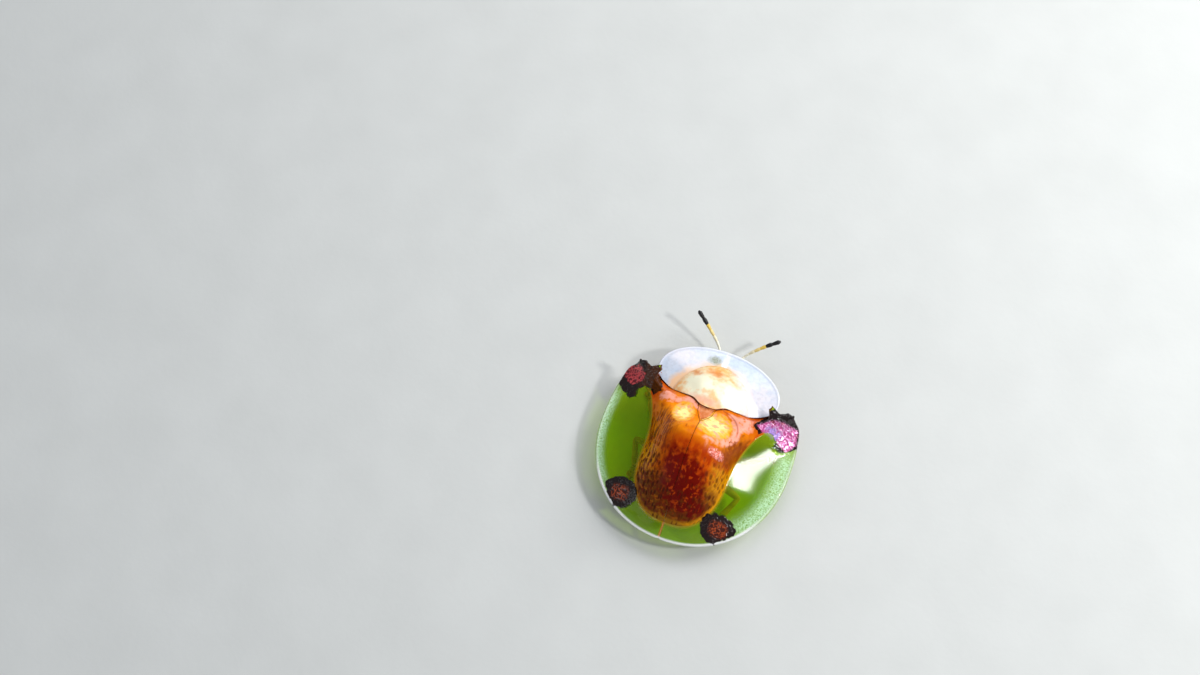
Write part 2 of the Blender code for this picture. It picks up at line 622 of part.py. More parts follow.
def body_ring(station, half_width, lowest, cover):
    """A closed ring across the body: a shallow curve below, and above it the underside of its shell."""
    y = FRONT_Y + station
    ring = []
    roof = float(ceiling(cover, np.array([half_width]), np.array([y]))[0])
    seam = lowest + SIDE_SEAM * (roof - lowest)
    for k in range(BODY_SIDES):
        angle = 2 * math.pi * k / BODY_SIDES
        c, s = math.cos(angle), math.sin(angle)
        x = half_width * math.copysign(abs(c) ** 0.8, c)
        roof = float(ceiling(cover, np.array([abs(x)]), np.array([y]))[0])
        z = seam + (roof - seam) * s**0.7 if s > 0 else seam + (seam - lowest) * s
        ring.append((x, y, z))
    return ring


def build_underside():
    """Prothorax, hind thorax and abdomen, each kept below the shell over it."""
    straw = material("underside_straw", STRAW, 0.4)
    for name, part_sizes, cover, widths in (
        ("prothorax", PROTHORAX, pronotum_height, PROTHORAX_WIDTHS),
        ("thorax", THORAX, elytra_height, THORAX_WIDTHS),
    ):
        front, back, half = part_sizes
        rings = []
        for share, width in widths:
            rings.append(body_ring(front + share * (back - front), half * width, BELLY_Z, cover))
        loft(name, rings, straw)
    front, back, half = ABDOMEN
    rings = []
    for ring in range(VENTRITES):
        for share, drop in ((0.04, 1.0), (0.82, -1.0)):
            along = (ring + share) / VENTRITES
            width = max((1 - along**2.6) ** 0.5, ABDOMEN_LAST_WIDTH)
            lowest = BELLY_Z - ABDOMEN_FALL * along**1.5 + VENTRITE_STEP * drop
            rings.append(body_ring(front + along * (back - front), half * width, lowest, elytra_height))
    loft("abdomen", rings, straw)


def frame_along(path, k):
    """Directions at a point of a path: along it, level across it, and square to both."""
    before, after = path[max(k - 1, 0)], path[min(k + 1, len(path) - 1)]
    along = (after - before).normalized()
    across = along.cross(Vector((0, 0, 1)))
    if across.length < 1e-6:
        across = Vector((1, 0, 0))
    across.normalize()
    return along, across, across.cross(along).normalized()


def limb(name, path, radii, finish, sides=LIMB_SIDES):
    """A closed round body along a path, with a radius at each of its points."""
    rings = []
    for k, (point, radius) in enumerate(zip(path, radii)):
        _, across, up = frame_along(path, k)
        ring = []
        for n in range(sides):
            angle = 2 * math.pi * n / sides
            ring.append(point + radius * (math.cos(angle) * across + math.sin(angle) * up))
        rings.append(ring)
    return loft(name, rings, finish)


def ball(name, middle, half_sizes, finish, columns=12, rows=8, lean=0.0):
    """An ellipsoid about a point, leaning sideways by an angle."""
    points, faces = [], []
    for r in range(1, rows):
        for c in range(columns):
            fall, turn = math.pi * r / rows, 2 * math.pi * c / columns
            x = half_sizes[0] * math.sin(fall) * math.cos(turn)
            y = half_sizes[1] * math.sin(fall) * math.sin(turn)
            z = half_sizes[2] * math.cos(fall)
            x, z = x * math.cos(lean) + z * math.sin(lean), z * math.cos(lean) - x * math.sin(lean)
            points.append(middle + Vector((x, y, z)))
    tip = Vector((half_sizes[2] * math.sin(lean), 0, half_sizes[2] * math.cos(lean)))
    points += [middle + tip, middle - tip]
    top, low = len(points) - 2, len(points) - 1
    for c in range(columns):
        n = (c + 1) % columns
        faces.append((top, c, n))
        faces.append((low, (rows - 2) * columns + n, (rows - 2) * columns + c))
        for r in range(rows - 2):
            faces.append((r * columns + c, (r + 1) * columns + c, (r + 1) * columns + n, r * columns + n))
    return add_object(name, points, faces, [finish])


def along_line(start, end, profile):
    """Path and radii of a limb between two points, from (share of the way, radius in millimetres)."""
    path = [start.lerp(end, share) for share, _ in profile]
    return path, [radius * MM for _, radius in profile]


def build_leg(name, joints):
    """Hip, femur, tibia, foot and two claws, fused. The foot's sole is flat on the floor."""
    straw = material("leg_straw", STRAW, 0.35)
    hip, knee, ankle, toe = (place(p) for p in joints)
    pieces = [ball(name, hip, [HIP_RADIUS] * 3, straw, 10, 6)]
    pieces.append(limb("femur", *along_line(hip, knee, FEMUR_RADII), straw))
    pieces.append(limb("tibia", *along_line(knee, ankle, TIBIA_RADII), straw))
    heel = Vector((ankle.x, ankle.y, 0))
    ahead = (toe - heel).normalized()
    across = Vector((-ahead.y, ahead.x, 0))
    rings = []
    for share, half_width, height in TARSUS_SHAPE:
        middle = heel.lerp(toe, share)
        ring = []
        for side, lift in TARSUS_SECTION:
            ring.append(middle + across * side * half_width * MM + Vector((0, 0, lift * height * MM)))
        rings.append(ring)
    pieces.append(loft("foot", rings, straw))
    root_across, root_back, root_z = CLAW_ROOT
    for side in (-1, 1):
        out = ahead * math.cos(CLAW_SPREAD) + across * side * math.sin(CLAW_SPREAD)
        start = toe + across * side * root_across - ahead * root_back + Vector((0, 0, root_z))
        tip = start + out * CLAW_LENGTH
        bend = start.lerp(tip, 0.55) + Vector((0, 0, CLAW_ARCH))
        path = [start, bend, tip - Vector((0, 0, CLAW_HOOK))]
        pieces.append(limb("claw", path, CLAW_RADII, straw, 6))
    return join(name, pieces)


def build_feeler(name, line):
    """A feeler of eleven joints, each swelling towards its end, the last ones black."""
    course = [Vector(p) for p in smooth_line([place(p) for p in line], 24)]
    run = [0.0]
    for a, b in zip(course, course[1:]):
        run.append(run[-1] + (b - a).length)
    total = sum(JOINT_LENGTHS)
    path, radii = [], []

    def point_along(length):
        """The point of the course at a length from its start."""
        share = np.interp(length, run, range(len(run)))
        k = min(int(share), len(course) - 2)
        return course[k].lerp(course[k + 1], share - k)

    begun = 0.0
    for length, radius in zip(JOINT_LENGTHS, JOINT_RADII):
        for share, swell in JOINT_SWELL:
            path.append(point_along(run[-1] * (begun + share * length) / total))
            radii.append(radius * swell * MM)
        begun += length
    path.append(point_along(run[-1]))
    radii.append(FEELER_TIP * JOINT_RADII[-1] * MM)
    made = limb(name, path, radii, material("feeler_straw", STRAW, 0.4))
    made.data.materials.append(material("feeler_black", BLACK, 0.4))
    black_from = (len(JOINT_LENGTHS) - BLACK_JOINTS) * len(JOINT_SWELL)
    for face in made.data.polygons:
        if min(face.vertices) >= black_from * LIMB_SIDES:
            face.material_index = 1
    return made


def build_head():
    """The head capsule with lip, jaws and palps fused on, and the two eyes beside it."""
    straw = material("head_straw", STRAW, 0.35)
    middle = place(HEAD_MIDDLE)
    pieces = [ball("head", middle, [s * MM for s in HEAD_HALF_SIZES], straw, 14, 10)]
    pieces.append(ball("lip", place(LIP_MIDDLE), [s * MM for s in LIP_HALF_SIZES], straw, 10, 6))

    def beside(point, side):
        """A point given for the left side, placed on the side asked for."""
        return place((side * point[0], point[1], point[2]))

    for side in (-1, 1):
        pieces.append(ball("socket", beside(SOCKET_MIDDLE, side), [SOCKET_RADIUS * MM] * 3, straw, 8, 6))
        start, end = beside(JAW[0], side), beside(JAW[1], side)
        pieces.append(limb("jaw", *along_line(start, end, JAW_RADII), straw, MOUTHPART_SIDES))
        path = [beside(point, side) for point in PALP]
        pieces.append(limb("palp", path, PALP_RADII, straw, MOUTHPART_SIDES))
    join("head", pieces)
    black = material("eye_black", BLACK, 0.15)
    sizes = [s * MM for s in EYE_HALF_SIZES]
    for name, side in (("eye_left", 1), ("eye_right", -1)):
        ball(name, beside(EYE_MIDDLE, side), sizes, black, 14, 10, side * EYE_LEAN)


for old in list(bpy.data.objects):
    bpy.data.objects.remove(old)

build_pronotum()
build_scutellum()
build_elytron("elytron_left", 1)
build_elytron("elytron_right", -1)
build_underside()
build_head()
build_feeler("feeler_left", FEELER_LEFT)
build_feeler("feeler_right", FEELER_RIGHT)
for leg_name, leg_joints in LEGS.items():
    build_leg(leg_name, leg_joints)
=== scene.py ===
"""A tortoise beetle at life size, standing on a pale floor with its shield and wing cases spread.

Blender works in metres and Z is up. The head points to -Y and the beetle's left side is +X. Shapes are worked
out in millimetres as (x, station, z): a station is the distance behind the front edge of the pronotum.
"""

import math

import bmesh
import bpy
import numpy as np
from mathutils import Matrix, Vector


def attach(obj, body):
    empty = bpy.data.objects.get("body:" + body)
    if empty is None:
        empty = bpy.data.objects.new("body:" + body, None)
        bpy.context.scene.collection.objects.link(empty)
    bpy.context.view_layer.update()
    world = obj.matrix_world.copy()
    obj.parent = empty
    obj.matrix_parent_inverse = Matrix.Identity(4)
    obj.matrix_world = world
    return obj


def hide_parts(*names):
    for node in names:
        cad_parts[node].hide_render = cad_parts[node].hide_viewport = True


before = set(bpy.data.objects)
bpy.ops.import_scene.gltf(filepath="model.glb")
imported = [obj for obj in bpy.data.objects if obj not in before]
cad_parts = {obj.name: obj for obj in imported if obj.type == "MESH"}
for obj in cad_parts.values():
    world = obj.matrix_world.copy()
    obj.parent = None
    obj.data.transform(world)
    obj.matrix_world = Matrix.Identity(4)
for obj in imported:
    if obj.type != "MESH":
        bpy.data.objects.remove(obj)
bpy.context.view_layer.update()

# The pronotum is the shield over the head: one plate of hard cuticle, opaque and pale golden over the body,
# with a glossy clear rim round it, whose pale blue and white is a painted reflection of the sky. It is hinged
# to the elytra along its hind margin.
MM = 0.001
FRONT_Y = -5.39 * MM
PRONOTUM_HALF_WIDTH = 4.03
PRONOTUM_WIDEST = 2.3
PRONOTUM_HIND_DEPTH = 1.75
PRONOTUM_HIND_POWER = 2.4
LOBE_DEPTH = 0.38
LOBE_HALF_WIDTH = 0.85
PRONOTUM_EDGE_Z = 1.65
PRONOTUM_SLOPE = 0.09
PRONOTUM_RIM_RISE = 0.32
PRONOTUM_DOME_RISE = 1.05
PRONOTUM_DOME_POWER = 2.2
RIM_POWER = 1.25
# Half an ellipse each: (half width, station of its back, length ahead of it).
PRONOTUM_DOME = (2.6, 4.2, 2.95)
PRONOTUM_OPAQUE = (2.5, 4.2, 3.02)
PRONOTUM_THICKNESS = 0.1
PRONOTUM_BEAD = 0.06
PRONOTUM_INSET = (PRONOTUM_THICKNESS + PRONOTUM_BEAD) / 2
# Bulges and hollows: (x, station, radius, rise), alike on both sides.
PRONOTUM_RELIEF = (
    (0.95, 2.75, 0.55, 0.09),
    (0.0, 3.6, 0.35, 0.05),
    (1.35, 3.65, 0.45, -0.07),
    (0.3, 1.75, 0.35, -0.06),
)


def linear(code):
    """An sRGB hex colour in the linear values that shaders take."""
    parts = [int(code[i : i + 2], 16) / 255 for i in (1, 3, 5)]
    return (*[p / 12.92 if p <= 0.04045 else ((p + 0.055) / 1.055) ** 2.4 for p in parts], 1.0)


def add_node(tree, kind, settings=None, inputs=None):
    """Adds a node with its settings and returns its outputs; an input takes a value or another's output."""
    made = tree.nodes.new(kind)
    for key, value in (settings or {}).items():
        setattr(made, key, value)
    for key, value in (inputs or {}).items():
        if isinstance(value, bpy.types.NodeSocket):
            tree.links.new(value, made.inputs[key])
        else:
            made.inputs[key].default_value = value
    return made.outputs


def new_material(name, **constants):
    """A Principled material with these constants on its sockets; returns it with its tree and shader."""
    made = bpy.data.materials.new(name)
    made.use_nodes = True
    shader = made.node_tree.nodes["Principled BSDF"]
    for key, value in constants.items():
        shader.inputs[key.replace("_", " ")].default_value = value
    return made, made.node_tree, shader


def grains(tree, size, low=0.0, high=1.0, most=1.0, detail=2.0, stretch=(1, 1, 1)):
    """Grains of this size in millimetres: none where the noise is below low, most where it is above high."""
    place = add_node(tree, "ShaderNodeTexCoord")["Object"]
    scale = [1 / (size * MM * s) for s in stretch]
    scaled = add_node(tree, "ShaderNodeVectorMath", {"operation": "MULTIPLY"}, {0: place, 1: scale})
    course = {"Vector": scaled[0], "Scale": 1.0, "Detail": detail}
    noise = add_node(tree, "ShaderNodeTexNoise", None, course)[0]
    return add_node(tree, "ShaderNodeMapRange", None, {0: noise, 1: low, 2: high, 4: most})[0]


def marking(tree, name, low=0.0, high=1.0, most=1.0, grain=None, fray=0.0):
    """How far a painted marking shows, from low to high on its mask, its edge frayed by grains."""
    shown = add_node(tree, "ShaderNodeAttribute", {"attribute_name": name})["Fac"]
    if grain:
        noise = grains(tree, grain, 0.3, 0.7, 2 * fray, 3.0)
        swing = add_node(tree, "ShaderNodeMath", {"operation": "ADD"}, {0: noise, 1: 1 - fray})
        frayed = {0: shown, 1: swing[0]}
        shown = add_node(tree, "ShaderNodeMath", {"operation": "MULTIPLY"}, frayed)[0]
    return add_node(tree, "ShaderNodeMapRange", None, {0: shown, 1: low, 2: high, 4: most})[0]


def share_of(tree, wanted):
    """A layer's share, from what marking takes, as in ("cream", 0.1, 0.75), from what grains takes, as in
    (0.45, 0.42, 0.6), from two of these in a list, to be multiplied, or from a node's output."""
    if isinstance(wanted, list):
        first, second = (share_of(tree, part) for part in wanted)
        return add_node(tree, "ShaderNodeMath", {"operation": "MULTIPLY"}, {0: first, 1: second})[0]
    if isinstance(wanted, tuple):
        return marking(tree, *wanted) if isinstance(wanted[0], str) else grains(tree, *wanted)
    return wanted


def layered(tree, ground, *layers):
    """Colours in hex, or plain values, laid over one another: each layer is (share, what it brings)."""
    ground = linear(ground) if isinstance(ground, str) else ground
    for share, brings in layers:
        if isinstance(brings, str):
            mixed = {0: share_of(tree, share), 6: ground, 7: linear(brings)}
            ground = add_node(tree, "ShaderNodeMix", {"data_type": "RGBA"}, mixed)[2]
        else:
            mixed = {0: share_of(tree, share), 2: ground, 3: brings}
            ground = add_node(tree, "ShaderNodeMix", {"data_type": "FLOAT"}, mixed)[0]
    return ground


def finish_with(tree, shader, colour, grain, depth):
    """Joins the colour to the shader, with a fine relief of this grain and depth in millimetres."""
    tree.links.new(colour, shader.inputs["Base Color"])
    height = grains(tree, grain, detail=3.0)
    bump = add_node(tree, "ShaderNodeBump", None, {"Height": height, "Distance": depth * MM, "Strength": 1.0})
    tree.links.new(bump[0], shader.inputs["Normal"])


def new_object(name, points, edges, faces, masks):
    """An object from points (x, station, z) in millimetres, with masks painted on its points."""
    placed = np.array(points, float) * MM
    placed[:, 1] += FRONT_Y
    mesh = bpy.data.meshes.new(name)
    mesh.from_pydata(placed, edges, faces)
    for key, values in masks.items():
        painted = mesh.attributes.new(key, "FLOAT", "POINT")
        painted.data.foreach_set("value", np.asarray(values, np.float32))
    made = bpy.data.objects.new(name, mesh)
    bpy.context.scene.collection.objects.link(made)
    return made


def add_piece(name, points, faces, finish, masks=None):
    """A smooth closed piece with its finish, its faces turned outwards."""
    made = new_object(name, points, [], faces, masks or {})
    shape = bmesh.new()
    shape.from_mesh(made.data)
    bmesh.ops.recalc_face_normals(shape, faces=shape.faces)
    shape.to_mesh(made.data)
    shape.free()
    made.data.materials.append(finish)
    made.data.shade_smooth()
    return made


def hand_over(piece, slot, *nodes):
    """The piece stands still with the body and stands for the solids named; the slot is not used."""
    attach(piece, "root")
    if nodes:
        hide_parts(*nodes)


def smooth_line(points, steps=12):
    """A Catmull-Rom curve through the points, with steps pieces between each two."""
    points = np.array(points, float)
    ends = np.vstack([2 * points[0] - points[1], points, 2 * points[-1] - points[-2]])
    made = []
    for i in range(1, len(ends) - 2):
        a, b, c, d = ends[i - 1 : i + 3]
        bend = 2 * a - 5 * b + 4 * c - d
        twist = 3 * b - a - 3 * c + d
        for t in np.arange(steps) / steps:
            made.append(0.5 * (2 * b + (c - a) * t + bend * t**2 + twist * t**3))
    return np.vstack([made, points[-1]])


def along(points, shares):
    """Points at shares of the length of the line through the points."""
    points = np.array(points, float)
    run = np.concatenate([[0], np.cumsum(np.linalg.norm(np.diff(points, axis=0), axis=1))])
    places = np.asarray(shares) * run[-1]
    return np.stack([np.interp(places, run, column) for column in points.T], axis=-1)


def blend_sides(left, right, start, end, rows, columns):
    """A grid of places between two long sides, running from the start side to the end side."""
    t, s = np.linspace(0, 1, rows), np.linspace(0, 1, columns)
    left, right = along(left, t)[:, None], along(right, t)[:, None]
    start, end = along(start, s)[None], along(end, s)[None]
    t, s = t[:, None, None], s[None, :, None]
    corners = (1 - s) * ((1 - t) * left[:1] + t * left[-1:]) + s * ((1 - t) * right[:1] + t * right[-1:])
    return (1 - s) * left + s * right + (1 - t) * start + t * end - corners


def smooth_step(value, low, high):
    """0 below low, 1 above high, and a soft step between them."""
    share = np.clip((value - low) / (high - low), 0, 1)
    return share * share * (3 - 2 * share)


def plate(name, plan, height, thickness, finish, masks):
    """A closed plate: a surface over the plan, the same surface below it, and a round edge between them."""
    top = np.concatenate([plan, height[..., None]], axis=-1)
    normal = np.cross(np.gradient(top, axis=0), np.gradient(top, axis=1))
    normal *= np.sign(normal[..., 2:])
    normal /= np.linalg.norm(normal, axis=-1, keepdims=True)
    rows, columns = height.shape
    index = np.arange(rows * columns).reshape(rows, columns)
    border = np.concatenate([index[0, :-1], index[:-1, -1], index[-1, :0:-1], index[:0:-1, 0]])
    inner = index[np.clip(border // columns, 1, rows - 2), np.clip(border % columns, 1, columns - 2)]
    top, normal = top.reshape(-1, 3), normal.reshape(-1, 3)
    half = np.broadcast_to(thickness, height.shape).reshape(-1, 1) / 2
    out = top[border] - top[inner]
    out -= normal[border] * np.sum(out * normal[border], axis=1, keepdims=True)
    out /= np.linalg.norm(out, axis=1, keepdims=True)
    middle = top - normal * half
    points, loops, begun = [top], [border], len(top)
    for degrees in (45, 90, 135):
        c, s = math.cos(math.radians(degrees)), math.sin(math.radians(degrees))
        points.append(middle[border] + half[border] * (c * normal[border] + s * out))
        loops.append(begun + np.arange(len(border)))
        begun += len(border)
    points.append(middle - normal * half)
    loops.append(begun + border)
    corner = index[:-1, :-1].reshape(-1)
    above = np.stack([corner, corner + 1, corner + columns + 1, corner + columns], axis=1)
    faces = [above, begun + above[:, ::-1]]
    for a, b in zip(loops, loops[1:]):
        faces.append(np.stack([a, b, np.roll(b, -1), np.roll(a, -1)], axis=1))
    source = np.concatenate([index.reshape(-1), border, border, border, index.reshape(-1)])
    painted = {key: values.reshape(-1)[source] for key, values in masks.items()}
    painted["top"] = np.arange(len(source)) < len(top)
    return add_piece(name, np.vstack(points), np.vstack(faces).tolist(), finish, painted)


def pronotum_edge(degrees):
    """The line that the pronotum's round edge bulges from: 0 degrees is its left end and 270 the front."""
    c, s = math.cos(math.radians(degrees)), math.sin(math.radians(degrees))
    half_width = PRONOTUM_HALF_WIDTH - PRONOTUM_INSET
    if s < 0:
        return half_width * c, PRONOTUM_WIDEST + (PRONOTUM_WIDEST - PRONOTUM_INSET) * s
    power = 2 / PRONOTUM_HIND_POWER
    x = half_width * math.copysign(abs(c) ** power, c)
    lobe = LOBE_DEPTH * math.exp(-((x / LOBE_HALF_WIDTH) ** 4)) * s**8
    return x, PRONOTUM_WIDEST + (PRONOTUM_HIND_DEPTH - PRONOTUM_INSET) * s**power + lobe


def pronotum_height(x, station):
    """The upper surface of the pronotum: a domed disc on a rim that falls gently to its edge."""
    half, back, length = PRONOTUM_DOME
    x = np.abs(x)
    ahead = np.maximum(back - station, 0)
    disc = np.hypot(x / half, ahead / length)
    beyond_disc = np.maximum(np.hypot(x, ahead) * (1 - 1 / np.maximum(disc, 1e-6)), 0)
    front = np.maximum(PRONOTUM_WIDEST - station, 0)
    round_edge = np.hypot(x / PRONOTUM_HALF_WIDTH, front / PRONOTUM_WIDEST)
    to_edge = np.maximum(np.hypot(x, front) * (1 / np.maximum(round_edge, 1e-6) - 1), 0)
    share = beyond_disc / np.maximum(beyond_disc + to_edge, 1e-9)
    rim = PRONOTUM_EDGE_Z + PRONOTUM_SLOPE * station + PRONOTUM_RIM_RISE * (1 - share) ** RIM_POWER
    return rim + PRONOTUM_DOME_RISE * np.maximum(1 - disc**PRONOTUM_DOME_POWER, 0)


def with_relief(height, x, station, relief):
    """The height with the bulges and hollows of a relief added."""
    for bump_x, bump_station, radius, rise in relief:
        away = ((np.abs(x) - bump_x) ** 2 + (station - bump_station) ** 2) / radius**2
        height = height + rise * np.exp(-away)
    return height


def blob(x, station, middle, radii, power=2.0):
    """A soft spot: 1 at its middle and fading outwards."""
    away = (np.abs(x - middle[0]) / radii[0]) ** power + (np.abs(station - middle[1]) / radii[1]) ** power
    return np.exp(-away)


def opaque_edge(degrees):
    """The front of the pronotum's opaque part, from 0 degrees at its left to 180 at its right."""
    half, back, length = PRONOTUM_OPAQUE
    return half * math.cos(math.radians(degrees)), back - length * math.sin(math.radians(degrees))


hind_margin = [pronotum_edge(d) for d in np.linspace(0, 180, 721)]
hind_left = [p for p in hind_margin if p[0] > PRONOTUM_OPAQUE[0]]
hind_middle = [p for p in hind_margin if abs(p[0]) <= PRONOTUM_OPAQUE[0]]
hind_right = [p for p in hind_margin if p[0] < -PRONOTUM_OPAQUE[0]]
opaque_line = [opaque_edge(d) for d in np.linspace(8, 172, 200)]
SHIELD_ROWS, SHIELD_COLUMNS = 110, 150
# The sides of the shield's grid end at this station, where its front begins. It is about so long in all.
SHIELD_CORNER = 2.2
SHIELD_LENGTH = 2.6
shield = blend_sides(
    [hind_middle[0], *[p for p in opaque_line if p[0] > 0 and p[1] > SHIELD_CORNER]],
    [hind_middle[-1], *[p for p in reversed(opaque_line) if p[0] < 0 and p[1] > SHIELD_CORNER]],
    hind_middle,
    [p for p in opaque_line if p[1] <= SHIELD_CORNER],
    SHIELD_ROWS,
    SHIELD_COLUMNS,
)
x, station = shield[..., 0], shield[..., 1]
half, back, length = PRONOTUM_OPAQUE
outwards = np.hypot(x / half, (back - station) / length)
from_hind = np.linspace(0, SHIELD_LENGTH, SHIELD_ROWS)[:, None] * np.ones(SHIELD_COLUMNS)
# The places and radii of markings are (x, station) in millimetres, here and on the other plates.
cream_left = blob(x, station, (1.0, 3.0), (1.15, 1.1))
cream_right = 0.65 * blob(x, station, (-0.75, 2.9), (1.6, 1.25))
spot_middle = blob(x, station, (0.3, 1.85), (0.6, 0.3))
spot_left = blob(x, station, (1.5, 2.2), (0.45, 0.22))
shield_masks = {
    "cream": np.maximum(cream_left, cream_right),
    # Painted highlight: near-white on the right of the dome, where the light falls.
    "milk": blob(x, station, (-1.4, 3.15), (0.95, 0.75), 3.0),
    "spot": np.maximum(spot_middle, spot_left),
    "rosy": blob(x, station, (0.35, 4.0), (1.6, 0.36)),
    "front": smooth_step(outwards, 0.94, 1.0) * (1 - smooth_step(station, 1.6, 2.4)),
    # Painted light: the right of the disc's edge is painted paler, towards the rim's colour.
    "fade": smooth_step(outwards, 0.7, 1.0) * smooth_step(-x, 0.0, 1.4),
    # A dark band along the hinge: the cuticle's dark edge, with painted shade of the gap there.
    "hind_line": 1 - smooth_step(from_hind, 0.02, 0.06),
}
# A waxy, pale golden dome, cream in places, with orange spots in front and a rosy tinge along the hinge, its
# colours blotched like marble. A near-white painted highlight lies on its right, and the right of its edge is
# painted paler, as if lit.
finish, tree, shader = new_material(
    "pronotum cuticle, glossy pale gold", Roughness=0.22, IOR=1.5, Specular_IOR_Level=0.4
)
colour = layered(
    tree,
    "#FDB662",
    ((0.45, 0.42, 0.6), "#FDDA9C"),
    ((0.2, 0.52, 0.7, 0.3), "#E89A50"),
    (("cream", 0.1, 0.75, 1.0, 0.45, 0.5), "#FFFADA"),
    # Painted highlight on the right of the dome.
    (("milk", 0.2, 0.8, 1.0, 0.3, 0.3), "#FFFCF2"),
    (("rosy", 0.2, 1.0, 0.8, 0.3, 0.3), "#FFC0A6"),
    (("spot", 0.2, 0.9, 0.8, 0.25, 0.4), "#E48A40"),
    (("front", 0.3, 1.0, 0.6, 0.2, 0.5), "#C4905A"),
    # Painted light: the right of the edge paler, as if lit.
    (("fade", 0.1, 0.9, 0.9, 0.3, 0.4), "#F8E8E6"),
    # Dark edge and painted shade along the hinge.
    (("hind_line",), "#6A2416"),
)
finish_with(tree, shader, colour, 0.35, 0.02)
pronotum_disc = plate(
    "pronotum_disc",
    shield,
    with_relief(pronotum_height(x, station), x, station, PRONOTUM_RELIEF),
    PRONOTUM_THICKNESS,
    finish,
    shield_masks,
)
hand_over(pronotum_disc, "pronotum", "pronotum")

RIM_ROWS, RIM_COLUMNS = 360, 48
# The way along the rim from one hind end to the other, roughly.
RIM_LENGTH = 13
rim_outer = [pronotum_edge(d) for d in np.linspace(22, -202, 600)]
rim_inner = [hind_middle[0], *opaque_line, hind_middle[-1]]
rim = blend_sides(
    rim_inner,
    rim_outer,
    [p for p in reversed(hind_left) if p[0] <= rim_outer[0][0]],
    [p for p in hind_right if p[0] >= rim_outer[-1][0]],
    RIM_ROWS,
    RIM_COLUMNS,
)
x, station = rim[..., 0], rim[..., 1]
across = np.linspace(0, 1, RIM_COLUMNS)[None] * np.ones((RIM_ROWS, 1))
width = np.linalg.norm(rim[:, -1] - rim[:, 0], axis=-1)[:, None]
# The rounded edge; its white is a painted highlight.
bead = 1 - smooth_step((1 - across) * width, 0.0, 0.14)
from_end = np.linspace(0, RIM_LENGTH, RIM_ROWS)
from_ends = np.minimum(from_end, from_end[::-1])[:, None] * np.ones(RIM_COLUMNS)
# Painted reflection of the sky, whitest at the two sides of the rim.
painted_sky_left = blob(x, station, (2.6, 1.3), (1.3, 0.8))
painted_sky_right = blob(x, station, (-2.9, 2.4), (1.2, 1.2))
rim_masks = {
    "bead": bead,
    "near_disc": 1 - smooth_step(across * width, 0.0, 0.6 + 0.6 * smooth_step(x, 0.8, 2.0)),
    "notch": blob(x, station, (0.75, 0.9), (0.5, 0.34)),
    "streak": blob(x, station, (0.1, 0.65), (0.2, 1.0), 3.0),
    # Painted sky reflection.
    "sky": np.maximum(painted_sky_left, painted_sky_right),
    # Painted light: the right side of the rim, beside the disc, is painted paler.
    "right": smooth_step(-x, 0.0, 1.4),
    # Dark band at the rim's hind ends: dark edge and painted shade of the gap at the hinge.
    "hind_line": 1 - smooth_step(from_ends, 0.02, 0.07),
}
# A clear plate painted pale blue and white as a reflection of the sky, whitest at the sides, and painted
# paler on the right beside the disc, as if lit. In front a feeler's base shows through as a white streak,
# and the head as a dull patch.
finish, tree, shader = new_material(
    "clear cuticle of the pronotum, glossy, mirroring the sky",
    Roughness=0.12,
    IOR=1.55,
    Specular_IOR_Level=0.8,
)
colour = layered(
    tree,
    # The pale blue ground is a painted reflection of the sky.
    "#D2E2F8",
    ((0.9, 0.35, 0.7), "#EAF2FE"),
    (("near_disc", 0.35, 1.0, 0.9, 0.9, 0.5), "#FCC890"),
    # Painted light: paler on the right beside the disc.
    ([("near_disc",), ("right",)], "#F8E8E6"),
    # Painted reflection of the sky at the sides.
    (("sky", 0.1, 0.9, 0.9, 0.4, 0.4), "#FAF6FD"),
    (("notch", 0.2, 0.9, 0.9, 0.2, 0.4), "#848C5A"),
    (("streak", 0.2, 0.9, 0.9, 0.3, 0.5), "#FFFFFF"),
    # Painted highlight along the rounded edge.
    (("bead", 0.2, 1.0, 0.7), "#F4F5FF"),
    # Dark edge and painted shade at the hinge.
    (("hind_line",), "#6A2416"),
)
finish_with(tree, shader, colour, 0.4, 0.004)
alpha = layered(
    tree,
    0.8,
    ((0.25, 0.45, 0.65), 0.7),
    (("near_disc", 0.35, 1.0, 1.0, 0.9, 0.5), 0.97),
    (("notch", 0.3, 0.9), 0.5),
    (("bead",), 0.9),
    (("hind_line",), 0.97),
)
tree.links.new(alpha, shader.inputs["Alpha"])
pronotum_rim = plate(
    "pronotum_rim",
    rim,
    with_relief(pronotum_height(x, station), x, station, PRONOTUM_RELIEF) + 0.03 * bead,
    PRONOTUM_THICKNESS + PRONOTUM_BEAD * bead,
    finish,
    rim_masks,
)
hand_over(pronotum_rim, "clear_rim")

# The elytra are the two wing cases: hard plates of cuticle, hinged at their base, that meet along the back.
# Each is a domed golden-brown disc, pitted in rows, and a wide clear margin, with two dark patches.
ELYTRA_HALF_WIDTH = 6.17
ELYTRA_WIDEST = 6.4
# The outline ahead of its widest station and behind it: (length, power of the curve).
ELYTRA_FRONT = (6.2, 2.6)
ELYTRA_REAR = (6.4, 2.12)
# The disc widens ahead of the station where it runs straight: (how much, over what length, power).
DISC_FLARE = (1.1, 3.8, 2.4)
DISC_HALF_WIDTH = 2.8
DISC_STRAIGHT = 8.0
DISC_REAR_LENGTH = 3.75
DISC_REAR_POWER = 2.6
# The crest of the dome along the suture: (station, z) where it begins to climb and at its peak.
CREST_BASE = (4.75, 3.3)
CREST_TOP = (6.9, 5.49)
CREST_POWER = 1.3
SECTION_POWER = 2.5
CREASE_Z = 2.5
CREASE_REAR_DROP = 0.75
EDGE_Z = 1.2
